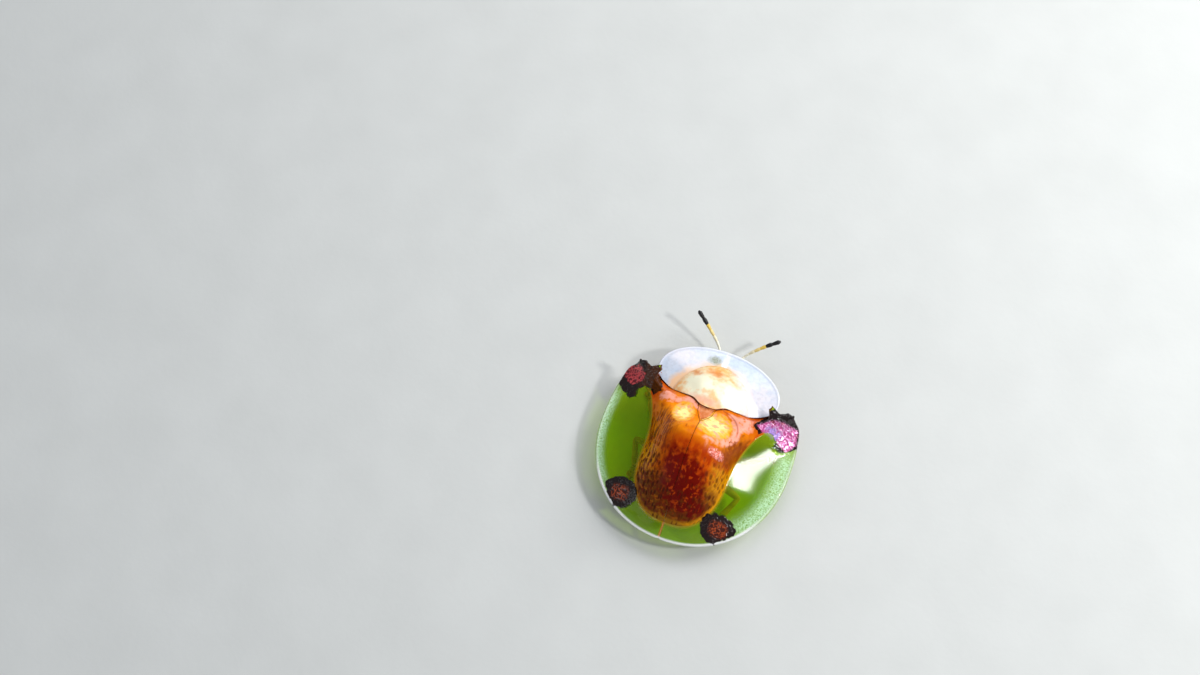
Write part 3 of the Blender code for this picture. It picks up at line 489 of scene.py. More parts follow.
# In front the crease lies lower and the edge higher: (how much, from what station on, over what length).
CREASE_FRONT_DROP = (0.2, 6.5, 2.5)
SHOULDER_LIFT = (0.25, 5.0, 2.4)
SUTURE_X = 0.025
SUTURE_THICKNESS = 0.04
ELYTRA_THICKNESS = 0.12
EDGE_BEAD = 0.07
EDGE_INSET = (ELYTRA_THICKNESS + EDGE_BEAD) / 2
BASE_TUCK = 0.12
PIT_ROWS = 11
PIT_SPACING = 0.55
PIT_DEPTH = 0.012
DISC_RIDGES = 0.03
MARGIN_RIDGES = 0.05
FROST_WIDTHS = {1: 0.7, -1: 1.35}
DISC_RELIEF = (
    (2.6, 4.75, 0.7, 0.3),
    (1.1, 5.4, 0.6, -0.22),
    (2.15, 6.4, 0.6, -0.12),
    (1.1, 4.85, 0.35, 0.08),
    (1.95, 5.4, 0.35, 0.1),
    (1.65, 7.25, 0.32, 0.06),
)
SHOULDER_PATCH = (
    (3.1, 4.25), (3.3, 3.65), (3.7, 2.95), (4.1, 2.6), (4.5, 2.5), (5.1, 2.4), (5.8, 2.5), (6.2, 3.2),
    (6.25, 4.0), (5.7, 4.6), (5.05, 5.05), (4.62, 4.9), (4.7, 4.45), (4.3, 4.15), (3.9, 4.2), (3.5, 4.55),
)
REAR_PATCH = (
    (2.1, 11.0), (2.3, 10.45), (2.7, 10.15), (3.3, 10.05), (3.85, 10.15), (4.35, 10.55), (4.25, 10.9),
    (3.85, 11.35), (3.25, 11.8), (2.8, 11.85), (2.35, 11.5),
)
# The shining part of each shoulder patch; on the right a painted highlight lies over it.
SHOULDER_LOBES = {
    1: ((5.75, 3.1), (5.1, 2.95), (4.5, 3.4), (4.45, 3.8), (5.15, 4.25), (5.8, 3.8)),
    -1: (
        (3.3, 4.15), (4.0, 3.5), (4.8, 3.3), (5.65, 3.25), (5.85, 4.1), (5.4, 4.8), (4.8, 4.5), (4.4, 4.2),
        (3.6, 4.35),
    ),
}
# The golden hollow beside the base of the suture on each side: (x, station) of its middle, and its radii.
HOLLOWS = {1: ((1.2, 5.3), (0.78, 0.98)), -1: ((0.87, 5.44), (1.3, 1.12))}


def disc_half_width(station):
    """Half the width of the domed disc at stations ahead of where its rear rounds off."""
    wider, length, power = DISC_FLARE
    return DISC_HALF_WIDTH + wider * (np.maximum(DISC_STRAIGHT - station, 0) / length) ** power


def disc_share(x, station):
    """How far out a place lies on the domed disc, where 1 is the crease round it."""
    behind = np.maximum(station - DISC_STRAIGHT, 0)
    rear = (x / DISC_HALF_WIDTH) ** DISC_REAR_POWER + (behind / DISC_REAR_LENGTH) ** DISC_REAR_POWER
    return np.where(behind > 0, rear ** (1 / DISC_REAR_POWER), x / disc_half_width(station))


def elytra_height(x, station):
    """The upper surface of the elytra: a dome that peaks behind the scutellum, and a flared margin."""
    x = np.abs(x)
    behind = np.maximum(station - DISC_STRAIGHT, 0)
    disc = disc_share(x, station)
    reach = np.where(behind > 0, np.hypot(x, behind), x)
    beyond_disc = np.maximum(reach * (1 - 1 / np.maximum(disc, 1e-6)), 0)
    from_widest = station - ELYTRA_WIDEST
    length = np.where(from_widest >= 0, ELYTRA_REAR[0], ELYTRA_FRONT[0])
    power = np.where(from_widest >= 0, ELYTRA_REAR[1], ELYTRA_FRONT[1])
    outer = ((x / ELYTRA_HALF_WIDTH) ** power + (np.abs(from_widest) / length) ** power) ** (1 / power)
    to_edge = np.maximum(np.hypot(x, from_widest) * (1 / np.maximum(outer, 1e-6) - 1), 0)
    share = beyond_disc / np.maximum(beyond_disc + to_edge, 1e-9)
    lift, begins, run = SHOULDER_LIFT
    edge = EDGE_Z + lift * np.clip((begins - station) / run, 0, 1)
    rear_drop = CREASE_REAR_DROP * np.minimum(behind / DISC_REAR_LENGTH, 1) ** 2
    front_drop, begins, run = CREASE_FRONT_DROP
    crease = CREASE_Z - rear_drop - front_drop * np.clip((begins - station) / run, 0, 1) ** 2
    climb = np.clip((station - CREST_BASE[0]) / (CREST_TOP[0] - CREST_BASE[0]), 0, 1)
    climbed = np.sin(climb * math.pi / 2) ** CREST_POWER
    front_crest = CREST_BASE[1] + (CREST_TOP[1] - CREST_BASE[1]) * climbed
    last = DISC_STRAIGHT + DISC_REAR_LENGTH
    fall = np.clip((station - CREST_TOP[0]) / (last - CREST_TOP[0]), 0, 1)
    low = CREASE_Z - CREASE_REAR_DROP
    rear_crest = low + (CREST_TOP[1] - low) * (1 - fall**2)
    crest = np.where(station < CREST_TOP[0], front_crest, rear_crest)
    taper = np.maximum(1 - (behind / DISC_REAR_LENGTH) ** DISC_REAR_POWER, 1e-9) ** (1 / DISC_REAR_POWER)
    section = x / np.maximum(disc_half_width(station) * taper, 1e-9)
    dome = np.maximum(1 - np.minimum(section, 1) ** SECTION_POWER, 0) * np.maximum(crest - crease, 0)
    margin = edge + (crease - edge) * np.maximum(1 - share, 0) ** RIM_POWER
    return with_relief(np.where(disc < 1, crease + dome, margin), x, station, DISC_RELIEF)


def plate_thickness(x):
    """An elytron is thinner where it meets the other."""
    at_suture = 1 - smooth_step(x, 0.05, 0.2)
    return ELYTRA_THICKNESS + (SUTURE_THICKNESS - ELYTRA_THICKNESS) * at_suture


def within(polygon, x, station):
    """How deep each place lies inside the polygon, in millimetres: less than 0 outside it."""
    inside = np.zeros(x.shape, bool)
    nearest = np.full(x.shape, 1e9)
    for (x1, y1), (x2, y2) in zip(polygon, polygon[1:] + polygon[:1]):
        crosses = (y1 > station) != (y2 > station)
        inside ^= crosses & (x < (x2 - x1) * (station - y1) / ((y2 - y1) or 1e-9) + x1)
        share = ((x - x1) * (x2 - x1) + (station - y1) * (y2 - y1)) / ((x2 - x1) ** 2 + (y2 - y1) ** 2)
        share = np.clip(share, 0, 1)
        away = np.hypot(x - x1 - share * (x2 - x1), station - y1 - share * (y2 - y1))
        nearest = np.minimum(nearest, away)
    return np.where(inside, nearest, -nearest)


def elytron_masks(x, station, side):
    """The markings of one elytron, over places given for the left one; side is 1 for left, -1 for right."""
    left, right = side > 0, side < 0
    share = disc_share(x, station)
    middle, radii = HOLLOWS[side]
    from_hollow = np.hypot((x - middle[0]) / radii[0], (station - middle[1]) / radii[1])
    ring = np.exp(-(((from_hollow - 1.1) / 0.2) ** 2))
    thin_ring = np.exp(-(((from_hollow - 1.14) / 0.05) ** 2))
    behind_hollow = 0.65 * smooth_step(station, 6.0, 6.5) * smooth_step(x, 0.3, 0.9)
    # Where the ring round the hollow is painted as a highlight: in front on the left, outside and behind on
    # the right.
    ringed = 1 - smooth_step(station, 4.4, 4.9)
    if right:
        ringed = np.maximum(smooth_step(x, 1.1, 1.8), behind_hollow)
    # The shoulder callus, which carries a painted highlight in rose.
    callus = blob(x, station, (2.55, 4.5), (0.5, 0.36) if left else (0.55, 0.5), 3.0)
    patch_depth = np.maximum(within(SHOULDER_PATCH, x, station), within(REAR_PATCH, x, station))
    lobe_depth = within(SHOULDER_LOBES[side], x, station)
    flank = smooth_step(share, 0.22, 0.72) if left else 0.4 * smooth_step(share, 0.42, 0.85)
    lean = 0.35 * (station - 9.0)
    return {
        "patch": np.clip(0.5 + patch_depth / 0.4, 0, 1),
        "lobe": np.clip(0.5 + lobe_depth / 0.4, 0, 1),
        # Painted highlight over the right shoulder's lobe.
        "bright": np.clip(0.5 + lobe_depth / 0.3, 0, 1) * right,
        # Painted sheen of pale violet on the right shoulder.
        "lilac": blob(x, station, (4.35, 4.1), (0.6, 0.4)) * right,
        "inner": (1 - smooth_step(x, 4.3, 4.9)) * (1 - smooth_step(station, 5.5, 6.0)) * left,
        "ember": blob(x, station, (3.25, 10.95), (0.62, 0.5), 3.0),
        "glow": blob(x, station, (1.3, 5.6), (1.9, 1.6), 3.0),
        "gold": 1 - smooth_step(from_hollow, 0.75, 1.05),
        "core": 1 - smooth_step(from_hollow, 0.1, 1.0),
        # Painted highlight in rose on the calluses and on parts of the rims of the hollows.
        "pink": np.clip(callus + ring * ringed, 0, 1),
        "arc": thin_ring * (1 - smooth_step(station, 5.2, 5.9)) * (x > 1) * right,
        # Painted glint on the right slope of the disc, over a small boss.
        "spark": blob(x, station, (1.65, 7.25), (0.42, 0.26), 3.0) * right,
        # Painted shade below the right shoulder.
        "shade": smooth_step(share, 0.55, 0.8) * blob(x, station, (2.9, 6.5), (1.4, 1.1), 3.0) * right,
        "brown": smooth_step(station, 6.5, 7.8),
        "maroon": blob(x * side + lean, station, (-0.2, 9.55), (1.4, 1.75), 3.0),
        "side": flank * smooth_step(station, 4.8, 6.3),
        "olive": smooth_step(share, 0.45, 0.85) * smooth_step(station, 7.3, 8.3) * (0.85 if left else 1.0),
        "low": smooth_step(station, 8.8, 10.2) * (1 - smooth_step(station, 11.3, 11.75)),
        "rear": smooth_step(station, 11.35, 11.7),
        "crease": smooth_step(share, 0.92, 0.99) * smooth_step(station, 6.5, 7.5) * (0.5 if left else 1.0),
        "dark_pits": smooth_step(share, 0.3, 0.7) * smooth_step(station, 7.0, 8.5) * (0.9 if left else 0.5),
    }


def base_and_shoulder():
    """The front edge of the left elytron, from the suture past the pronotum's corner to the shoulder."""
    line = [(SUTURE_X, 5.45), (0.26, 5.0), (0.46, 4.55), (0.56, 4.15)]
    for degrees in np.arange(76, 8, -4):
        a, b = np.array(pronotum_edge(degrees)), np.array(pronotum_edge(degrees - 1))
        step = (b - a) / np.linalg.norm(b - a)
        inwards = np.array((step[1], -step[0]))
        if inwards[1] > 0:
            inwards = -inwards
        line.append(tuple(a + inwards * BASE_TUCK))
    return line, [(4.28, 2.93), (4.55, 2.84), (4.85, 2.72)]


def elytra_edge():
    """The line that the left elytron's round edge bulges from, from its shoulder to the suture behind."""
    half_width = ELYTRA_HALF_WIDTH - EDGE_INSET
    length, power = ELYTRA_FRONT
    line = [(4.85, 2.72), (5.36, 2.85), (5.72, 3.26)]
    for station in np.linspace(4.3, ELYTRA_WIDEST, 8)[:-1]:
        share = abs(station - ELYTRA_WIDEST) / length
        line.append((half_width * (1 - share**power) ** (1 / power), station))
    length, power = ELYTRA_REAR
    for bend in np.linspace(0, math.pi / 2, 40):
        x = half_width * math.cos(bend) ** (2 / power)
        line.append((max(x, SUTURE_X), ELYTRA_WIDEST + (length - EDGE_INSET) * math.sin(bend) ** (2 / power)))
    return smooth_line(line, 6)


def crease_line():
    """The line between disc and margin of the left elytron, from its front edge round to the suture."""
    line = [(3.72, 3.02), (3.82, 3.6)]
    for station in np.linspace(4.4, DISC_STRAIGHT, 20)[:-1]:
        line.append((float(disc_half_width(station)), station))
    for bend in np.linspace(0, math.pi / 2, 40):
        x = DISC_HALF_WIDTH * math.cos(bend) ** (2 / DISC_REAR_POWER)
        rear = DISC_STRAIGHT + DISC_REAR_LENGTH * math.sin(bend) ** (2 / DISC_REAR_POWER)
        line.append((max(x, SUTURE_X), rear))
    return smooth_line(line, 4)


def new_tree(name, inputs):
    """A Geometry Nodes tree with named inputs; returns it with what it is given and its output node."""
    tree = bpy.data.node_groups.new(name, "GeometryNodeTree")
    tree.interface.new_socket("Geometry", in_out="INPUT", socket_type="NodeSocketGeometry")
    for label, kind in inputs:
        tree.interface.new_socket(label, in_out="INPUT", socket_type="NodeSocket" + kind)
    tree.interface.new_socket("Geometry", in_out="OUTPUT", socket_type="NodeSocketGeometry")
    return tree, tree.nodes.new("NodeGroupInput").outputs, tree.nodes.new("NodeGroupOutput")


def apply_tree(piece, tree, **values):
    """Runs the tree on the piece with its named inputs set, and keeps the result as plain mesh."""
    live = piece.modifiers.new("grow", "NODES")
    live.node_group = tree
    for item in tree.interface.items_tree:
        key = item.name.replace(" ", "_")
        if item.in_out == "INPUT" and key in values:
            live[item.identifier] = values[key]
    graph = bpy.context.evaluated_depsgraph_get()
    grown = piece.evaluated_get(graph)
    mesh = bpy.data.meshes.new_from_object(grown, preserve_all_data_layers=True, depsgraph=graph)
    piece.modifiers.clear()
    piece.data = mesh


def from_start(plan):
    """How far each place of the plan lies from its first row, along its column."""
    steps = np.linalg.norm(np.diff(plan, axis=0), axis=-1)
    return np.vstack([np.zeros(plan.shape[1]), np.cumsum(steps, axis=0)])


# Pits in rows and the rough ridges of the dark patches are pressed into the upper surface. The rows follow
# the masks lane and run. A pit is flat out to PIT_FLOOR and ends somewhere within PIT_RIMS, as shares of the
# space between rows. Ridges run where a noise with grains of RIDGE_GRAIN is within RIDGE_WIDTH of its middle.
PIT_SCATTER = 0.7
PIT_FLOOR = 0.1
PIT_RIMS = (0.26, 0.5)
RIDGE_GRAIN = 0.22
RIDGE_WIDTH = 0.12
relief_tree, given, result = new_tree(
    "pitted_cuticle",
    [("Pit depth", "Float"), ("Pit spacing", "Float"), ("Ridge height", "Float"), ("Finish", "Material")],
)
flow = dict(given.items())
for name in ("lane", "run", "pitted", "patch", "top"):
    mask = add_node(relief_tree, "GeometryNodeInputNamedAttribute", {"data_type": "FLOAT"}, {"Name": name})
    flow[name] = mask["Attribute"]
down = add_node(
    relief_tree, "ShaderNodeMath", {"operation": "DIVIDE"}, {0: flow["run"], 1: flow["Pit spacing"]}
)
cell = add_node(relief_tree, "ShaderNodeCombineXYZ", None, {"X": flow["lane"], "Y": down[0]})
cells = add_node(
    relief_tree,
    "ShaderNodeTexVoronoi",
    {"voronoi_dimensions": "2D"},
    {"Vector": cell[0], "Scale": 1.0, "Randomness": PIT_SCATTER},
)
chance = add_node(relief_tree, "ShaderNodeSeparateXYZ", None, {0: cells["Color"]})
pit_rim = add_node(relief_tree, "ShaderNodeMapRange", None, {0: chance[1], 3: PIT_RIMS[0], 4: PIT_RIMS[1]})
bowl = add_node(
    relief_tree,
    "ShaderNodeMapRange",
    {"interpolation_type": "SMOOTHSTEP"},
    {0: cells["Distance"], 1: PIT_FLOOR, 2: pit_rim[0], 3: 1.0, 4: 0.0},
)
position = add_node(relief_tree, "GeometryNodeInputPosition")[0]
folds = {"Vector": position, "Scale": 1 / (RIDGE_GRAIN * MM), "Detail": 1.0}
grain = add_node(relief_tree, "ShaderNodeTexNoise", None, folds)
flow.update(chance=chance[0], bowl=bowl[0], grain=grain["Fac"])
for name, operation, first, second in (
    ("present", "LESS_THAN", "chance", "pitted"),
    ("pit", "MULTIPLY", "bowl", "present"),
    ("fold", "SUBTRACT", "grain", 0.5),
    ("fold", "ABSOLUTE", "fold", 0.0),
    ("fold", "DIVIDE", "fold", RIDGE_WIDTH),
    ("ridge", "SUBTRACT", 1.0, "fold"),
    ("ridge", "MAXIMUM", "ridge", 0.0),
    ("ridge", "MULTIPLY", "ridge", "patch"),
    ("sunk", "MULTIPLY", "pit", "Pit depth"),
    ("raised", "MULTIPLY", "ridge", "Ridge height"),
    ("moved", "SUBTRACT", "raised", "sunk"),
    ("moved", "MULTIPLY", "moved", "top"),
):
    terms = {0: flow.get(first, first), 1: flow.get(second, second)}
    flow[name] = add_node(relief_tree, "ShaderNodeMath", {"operation": operation}, terms)[0]
grown = flow["Geometry"]
for name in ("pit", "ridge"):
    kept = {"Geometry": grown, "Name": name, "Value": flow[name]}
    grown = add_node(relief_tree, "GeometryNodeStoreNamedAttribute", {"data_type": "FLOAT"}, kept)[0]
normal = add_node(relief_tree, "GeometryNodeInputNormal")[0]
offset = add_node(
    relief_tree, "ShaderNodeVectorMath", {"operation": "SCALE"}, {0: normal, "Scale": flow["moved"]}
)
placed = add_node(relief_tree, "GeometryNodeSetPosition", None, {"Geometry": grown, "Offset": offset[0]})
finished = add_node(
    relief_tree, "GeometryNodeSetMaterial", None, {"Geometry": placed[0], "Material": flow["Finish"]}
)
relief_tree.links.new(finished[0], result.inputs["Geometry"])

# The dark patches are black, and brown on the inner arm at the left shoulder. Their ridges shine red, and
# ember brown behind. On the right shoulder, where the light is strongest, a painted highlight lies over the
# lobe and its ridges, rose to near white on the ridge tops, with a painted sheen of pale violet near its
# inner end.
RIDGE, LOBE = ("ridge", 0.25, 0.8), ("lobe", 0.35, 0.6, 1.0, 0.3, 0.3)
PATCH_LAYERS = (
    (("patch", 0.4, 0.52, 1.0, 0.3, 0.4), "#1C0A05"),
    ([("inner",), ("patch", 0.5, 0.7, 1.0, 0.25, 0.5)], "#4C2402"),
    (("ember", 0.2, 0.8, 0.9, 0.2, 0.5), "#4C1604"),
    ([("ember", 0.3, 0.8), RIDGE], "#B04818"),
    (LOBE, "#701620"),
    ([LOBE, RIDGE], "#F05A5C"),
    # Painted highlight on the right lobe and its ridges.
    (("bright", 0.35, 0.6, 0.85, 0.25, 0.6), "#CC5C9C"),
    ([("bright",), RIDGE], "#FFA6E0"),
    # Painted sheen of pale violet on the right shoulder.
    (("lilac", 0.3, 0.8, 0.8, 0.2, 0.6), "#B8A4F4"),
    # Painted highlight, near white, on the tops of the right lobe's ridges.
    ([("bright",), ("ridge", 0.65, 0.95)], "#FFD6F6"),
)

# The disc glows like amber: golden hollows in front, orange-red behind them, a maroon middle flecked with
# orange, brown flanks streaked along, and a golden crease. Parts of the rims of the hollows and the shoulder
# calluses are painted rose as highlights, a small painted glint lies on the right slope, and painted shade
# lies below the right shoulder. The pits are darker and duller.
disc_finish, tree, shader = new_material(
    "elytra cuticle, glossy, orange-brown with dark pits", Roughness=0.2, IOR=1.5, Specular_IOR_Level=0.07
)
colour = layered(
    tree,
    "#C24403",
    ((0.28, 0.4, 0.62, 1.0, 2.0, (1, 2.5, 1)), "#D86206"),
    (("glow", 0.1, 0.9, 1.0, 0.5, 0.4), "#F78E0A"),
    (("brown", 0.0, 1.0, 0.9, 0.5, 0.5), "#AC3402"),
    ([("brown",), (0.3, 0.5, 0.62, 0.8, 2.0, (1, 2.5, 1))], "#D25A04"),
    (("side", 0.1, 0.9, 0.95, 0.4, 0.5), "#CC6802"),
    # Painted shade below the right shoulder.
    (("shade", 0.1, 0.9, 0.8, 0.3, 0.5), "#8A3606"),
    (("olive", 0.1, 0.9, 0.9, 0.4, 0.6), "#D28A04"),
    (("low", 0.1, 0.9, 0.85, 0.4, 0.6), "#4C1602"),
    ([("side",), (0.16, 0.45, 0.58, 0.9, 2.0, (1, 4.5, 1))], "#6A2002"),
    (("maroon", 0.15, 0.7, 0.95, 0.5, 0.8), "#6E0300"),
    ([("maroon",), (0.25, 0.575, 0.655, 0.85, 2.0, (1, 2.0, 1))], "#C84803"),
    (("crease", 0.1, 0.9, 0.85, 0.3, 0.3), "#E0960A"),
    (("rear", 0.1, 0.9, 0.85, 0.3, 0.4), "#8A6410"),
    # Painted highlight in rose on the calluses and round the hollows.
    (("pink", 0.2, 0.8, 0.95, 0.25, 0.8), "#FFAC94"),
    (("gold", 0.2, 0.8, 1.0, 0.3, 0.7), "#FDB43C"),
    (("core", 0.15, 0.8, 1.0, 0.35, 0.8), "#FFF3A0"),
    ([("gold",), (0.4, 0.54, 0.62, 0.85)], "#F9A888"),
    # Painted glint on the right slope.
    (("spark", 0.2, 0.8, 0.9, 0.2, 1.0), "#F08070"),
    ([("spark", 0.1, 0.6), (0.12, 0.5, 0.6)], "#FFC0B8"),
    (("pit", 0.1, 0.9, 0.35), "#5A1402"),
    ([("dark_pits",), ("pit", 0.1, 0.9, 0.8)], "#3A1002"),
    (("arc", 0.2, 0.9, 0.55), "#A03A1C"),
    # Dark band behind the pronotum's edge: dark edge and painted shade of the gap at the hinge.
    (("base_line",), "#6A2416"),
    *PATCH_LAYERS,
)
finish_with(tree, shader, colour, 0.3, 0.012)
roughness = layered(tree, 0.22, (("pit", 0.0, 0.4), 0.65), (("maroon", 0.2, 0.8), 0.45))
tree.links.new(roughness, shader.inputs["Roughness"])

# The margin is clear like tinted glass, olive green, amber beside the disc and frosted with fine pale grains
# towards its rounded edge, which is painted white as a highlight, most strongly behind. What lies below it
# shows through.
rim_finish, tree, shader = new_material(
    "clear cuticle of the elytra, glossy, tinted olive", Roughness=0.1, IOR=1.55, Specular_IOR_Level=0.42
)
colour = layered(
    tree,
    "#6A9C00",
    ((1.2, 0.35, 0.7), "#7C9C00"),
    (("near_disc",), "#C29A08"),
    ([("frost",), (0.09, 0.25, 0.6, 1.0, 3.0)], "#CCF4CC"),
    (("suture",), "#D08018"),
    # Painted highlight: the rounded edge painted white.
    (("bead",), "#FFFFFF"),
    # Dark edge and painted shade at the hinge.
    (("base_line",), "#5A1E10"),
    *PATCH_LAYERS,
)
tree.links.new(colour, shader.inputs["Base Color"])
# The tint lies in the upper surface alone, so what is below the margin shows through it once.
upper = add_node(tree, "ShaderNodeAttribute", {"attribute_name": "top"})["Fac"]
lower = add_node(tree, "ShaderNodeMath", {"operation": "SUBTRACT"}, {0: 1.0, 1: upper})[0]
cover = layered(
    tree,
    0.26,
    (("near_disc",), 0.65),
    (("frost",), 0.8),
    (lower, 0.05),
    (("suture",), 0.95),
    (("bead",), 0.9),
    (("base_line",), 0.9),
    (("patch", 0.4, 0.52, 1.0, 0.3, 0.4), 1.0),
)
film = add_node(tree, "ShaderNodeBsdfTransparent", None, {"Color": linear("#E4F86C")})
mixed = add_node(tree, "ShaderNodeMixShader", None, {0: cover, 1: film[0], 2: shader.outputs[0]})
tree.links.new(mixed[0], tree.nodes["Material Output"].inputs["Surface"])
shine = layered(tree, 0.0, ([("lobe", 0.35, 0.6), RIDGE], 0.5))
tree.links.new(shine, shader.inputs["Metallic"])

covered, shoulder = base_and_shoulder()
crease = crease_line()
front_edge = smooth_line([*covered, *shoulder], 6)
turn = int(np.argmin(np.hypot(*(front_edge - crease[0]).T)))
crease = np.vstack([front_edge[turn], crease[1:]])
# The disc's plan turns from its side to its rear where the crease is this far out.
REAR_TURN_X = 2.15
rear_turn = int(np.argmin(np.abs(crease[:, 0] - REAR_TURN_X) + (crease[:, 1] < 9) * 9))
DISC_ROWS, DISC_COLUMNS = 300, 140
disc_plan = blend_sides(
    [front_edge[0], (SUTURE_X, crease[-1, 1])],
    crease[: rear_turn + 1],
    front_edge[: turn + 1],
    crease[rear_turn:][::-1],
    DISC_ROWS,
    DISC_COLUMNS,
)
MARGIN_ROWS, MARGIN_COLUMNS = 320, 66
margin_plan = blend_sides(
    crease,
    elytra_edge(),
    front_edge[turn:],
    [(SUTURE_X, crease[-1, 1]), (SUTURE_X, elytra_edge()[-1, 1])],
    MARGIN_ROWS,
    MARGIN_COLUMNS,
)
across = np.linspace(0, 1, MARGIN_COLUMNS)[None] * np.ones((MARGIN_ROWS, 1))
width = np.linalg.norm(margin_plan[:, -1] - margin_plan[:, 0], axis=-1)[:, None]
to_edge = (1 - across) * width
for side_name, side in (("left", 1), ("right", -1)):
    x, station = disc_plan[..., 0], disc_plan[..., 1]
    height = elytra_height(x, station)
    from_base = from_start(disc_plan)
    tucked = pronotum_height(x[0], station[0]) - BASE_TUCK
    meets = 1 - smooth_step(from_base, 0.05, 0.75)
    meets = meets * (1 - smooth_step(x[0], 3.5, 4.1)) * smooth_step(x[0], 0.2, 0.5)
    height = height + (np.minimum(tucked, height[0]) - height[0]) * meets
    masks = elytron_masks(x, station, side)
    # A thin dark band just behind the base: dark edge and painted shade of the pronotum's overhang.
    masks["base_line"] = smooth_step(from_base, 0.1, 0.13) * (1 - smooth_step(from_base, 0.16, 0.22))
    masks["lane"] = np.linspace(0, PIT_ROWS, DISC_COLUMNS)[None] * np.ones((DISC_ROWS, 1))
    masks["run"] = station
    pitted = 0.04 + 0.6 * smooth_step(station, 7.0, 9.0) + 0.55 * smooth_step(masks["lane"], 5, 8)
    bare = (1 - masks["gold"]) * (1 - masks["pink"]) * smooth_step(from_base, 0.3, 0.5)
    masks["pitted"] = np.clip(pitted * bare, 0, 0.92)
    thickness = plate_thickness(x)
    disc = plate(f"elytron_{side_name}_disc", disc_plan * (side, 1), height, thickness, disc_finish, masks)
    apply_tree(
        disc,
        relief_tree,
        Pit_depth=PIT_DEPTH * MM,
        Pit_spacing=PIT_SPACING,
        Ridge_height=DISC_RIDGES * MM,
        Finish=disc_finish,
    )
    hand_over(disc, "elytra", f"elytron_{side_name}")

    x, station = margin_plan[..., 0], margin_plan[..., 1]
    bead = 1 - smooth_step(to_edge, 0.0, 0.16)
    masks = elytron_masks(x, station, side)
    # Painted highlight along the rounded edge, strongest along the rear.
    masks["bead"] = bead * (0.35 + 0.65 * smooth_step(station, 9.0, 10.5))
    frost_width = FROST_WIDTHS[side]
    frost = (1 - smooth_step(to_edge, 0.3 * frost_width, frost_width)) * smooth_step(station, 4.0, 5.5)
    masks["frost"] = frost * (1 - 0.85 * smooth_step(station, 10.0, 11.5))
    masks["near_disc"] = 1 - smooth_step(across * width, 0.0, 0.25)
    masks["suture"] = 1 - smooth_step(x, 0.045, 0.09)
    # Dark edge and painted shade along the front of the margin, at the hinge.
    masks["base_line"] = 1 - smooth_step(from_start(margin_plan), 0.02, 0.07)
    margin = plate(
        f"elytron_{side_name}_rim",
        margin_plan * (side, 1),
        elytra_height(x, station) + 0.04 * bead,
        plate_thickness(x) + EDGE_BEAD * bead,
        rim_finish,
        masks,
    )
    apply_tree(margin, relief_tree, Pit_spacing=1.0, Ridge_height=MARGIN_RIDGES * MM, Finish=rim_finish)
    hand_over(margin, "clear_rim")

# The scutellum is a small plate of hard cuticle, golden orange and slightly domed. It grows from the thorax
# and fills the gap between the bases of the elytra.
SCUTELLUM = ((0.58, 4.2), (0.42, 4.65), (0.24, 5.08), (0.03, 5.5))
SCUTELLUM_THICKNESS = 0.06
SCUTELLUM_ROWS, SCUTELLUM_COLUMNS = 40, 24
outline = np.array(SCUTELLUM)
base, tip = outline[0], outline[-1]
scutellum_plan = blend_sides(
    smooth_line(outline * (-1, 1)),
    smooth_line(outline),
    [base * (-1, 1), base],
    [tip * (-1, 1), tip],
    SCUTELLUM_ROWS,
    SCUTELLUM_COLUMNS,
)
x, station = scutellum_plan[..., 0], scutellum_plan[..., 1]
below_pronotum = pronotum_height(x, np.minimum(station, 4.3)) - BASE_TUCK
height = np.minimum(elytra_height(x, station) + 0.02, below_pronotum) - 0.08 * (x / base[0]) ** 2
# The same amber shine as the elytra round it, a little paler, in soft grains.
finish, tree, shader = new_material(
    "scutellum cuticle, glossy golden orange", Roughness=0.22, IOR=1.5, Specular_IOR_Level=0.4
)
colour = layered(tree, "#EA8A4E", ((0.2, 0.4, 0.7), "#FAB080"))
finish_with(tree, shader, colour, 0.2, 0.01)
scutellum = plate("scutellum_plate", scutellum_plan, height, SCUTELLUM_THICKNESS, finish, {})
hand_over(scutellum, "elytra", "scutellum")

# The trunk fills the space below the shield and the wing cases: prothorax, hind thorax and an abdomen of five
# overlapping belly plates, all hard straw-yellow cuticle with a satin shine. The legs grow from it.
BELLY_Z = 1.45
BELLY_GROOVE = 0.05
ROOF_CLEARANCE = 0.42
TRUNK_RINGS = 25
RING_CORNERS = 48
# Each part: its front, back and half width, the plate above it, and widths as (share of way, share of width).
TRUNK = {
    "prothorax": (
        3.1, 4.72, 1.75, pronotum_height, ((0.0, 0.6), (0.12, 0.86), (0.4, 1.0), (0.75, 1.0), (1.0, 0.9)),
    ),
    "thorax": (
        4.85, 8.0, 2.3, elytra_height, ((0.0, 0.7), (0.1, 0.86), (0.35, 1.0), (0.7, 1.0), (1.0, 0.98)),
    ),
}
ABDOMEN = (8.1, 10.95, 2.25)
VENTRITES = 5
# The middle of one belly plate from its front: (share of its length, rise).
VENTRITE = ((0.0, 0.08), (0.15, 0.0), (0.75, -0.04), (0.93, -0.035), (0.97, 0.0))


def loft(rings):
    """Points and faces of a closed body through rings of equally many corners."""
    count = len(rings[0])
    faces = [tuple(range(count - 1, -1, -1))]
    for r in range(len(rings) - 1):
        for k in range(count):
            n = (k + 1) % count
            faces.append((r * count + k, r * count + n, (r + 1) * count + n, (r + 1) * count + k))
    faces.append(tuple((len(rings) - 1) * count + k for k in range(count)))
    return [p for ring in rings for p in ring], faces


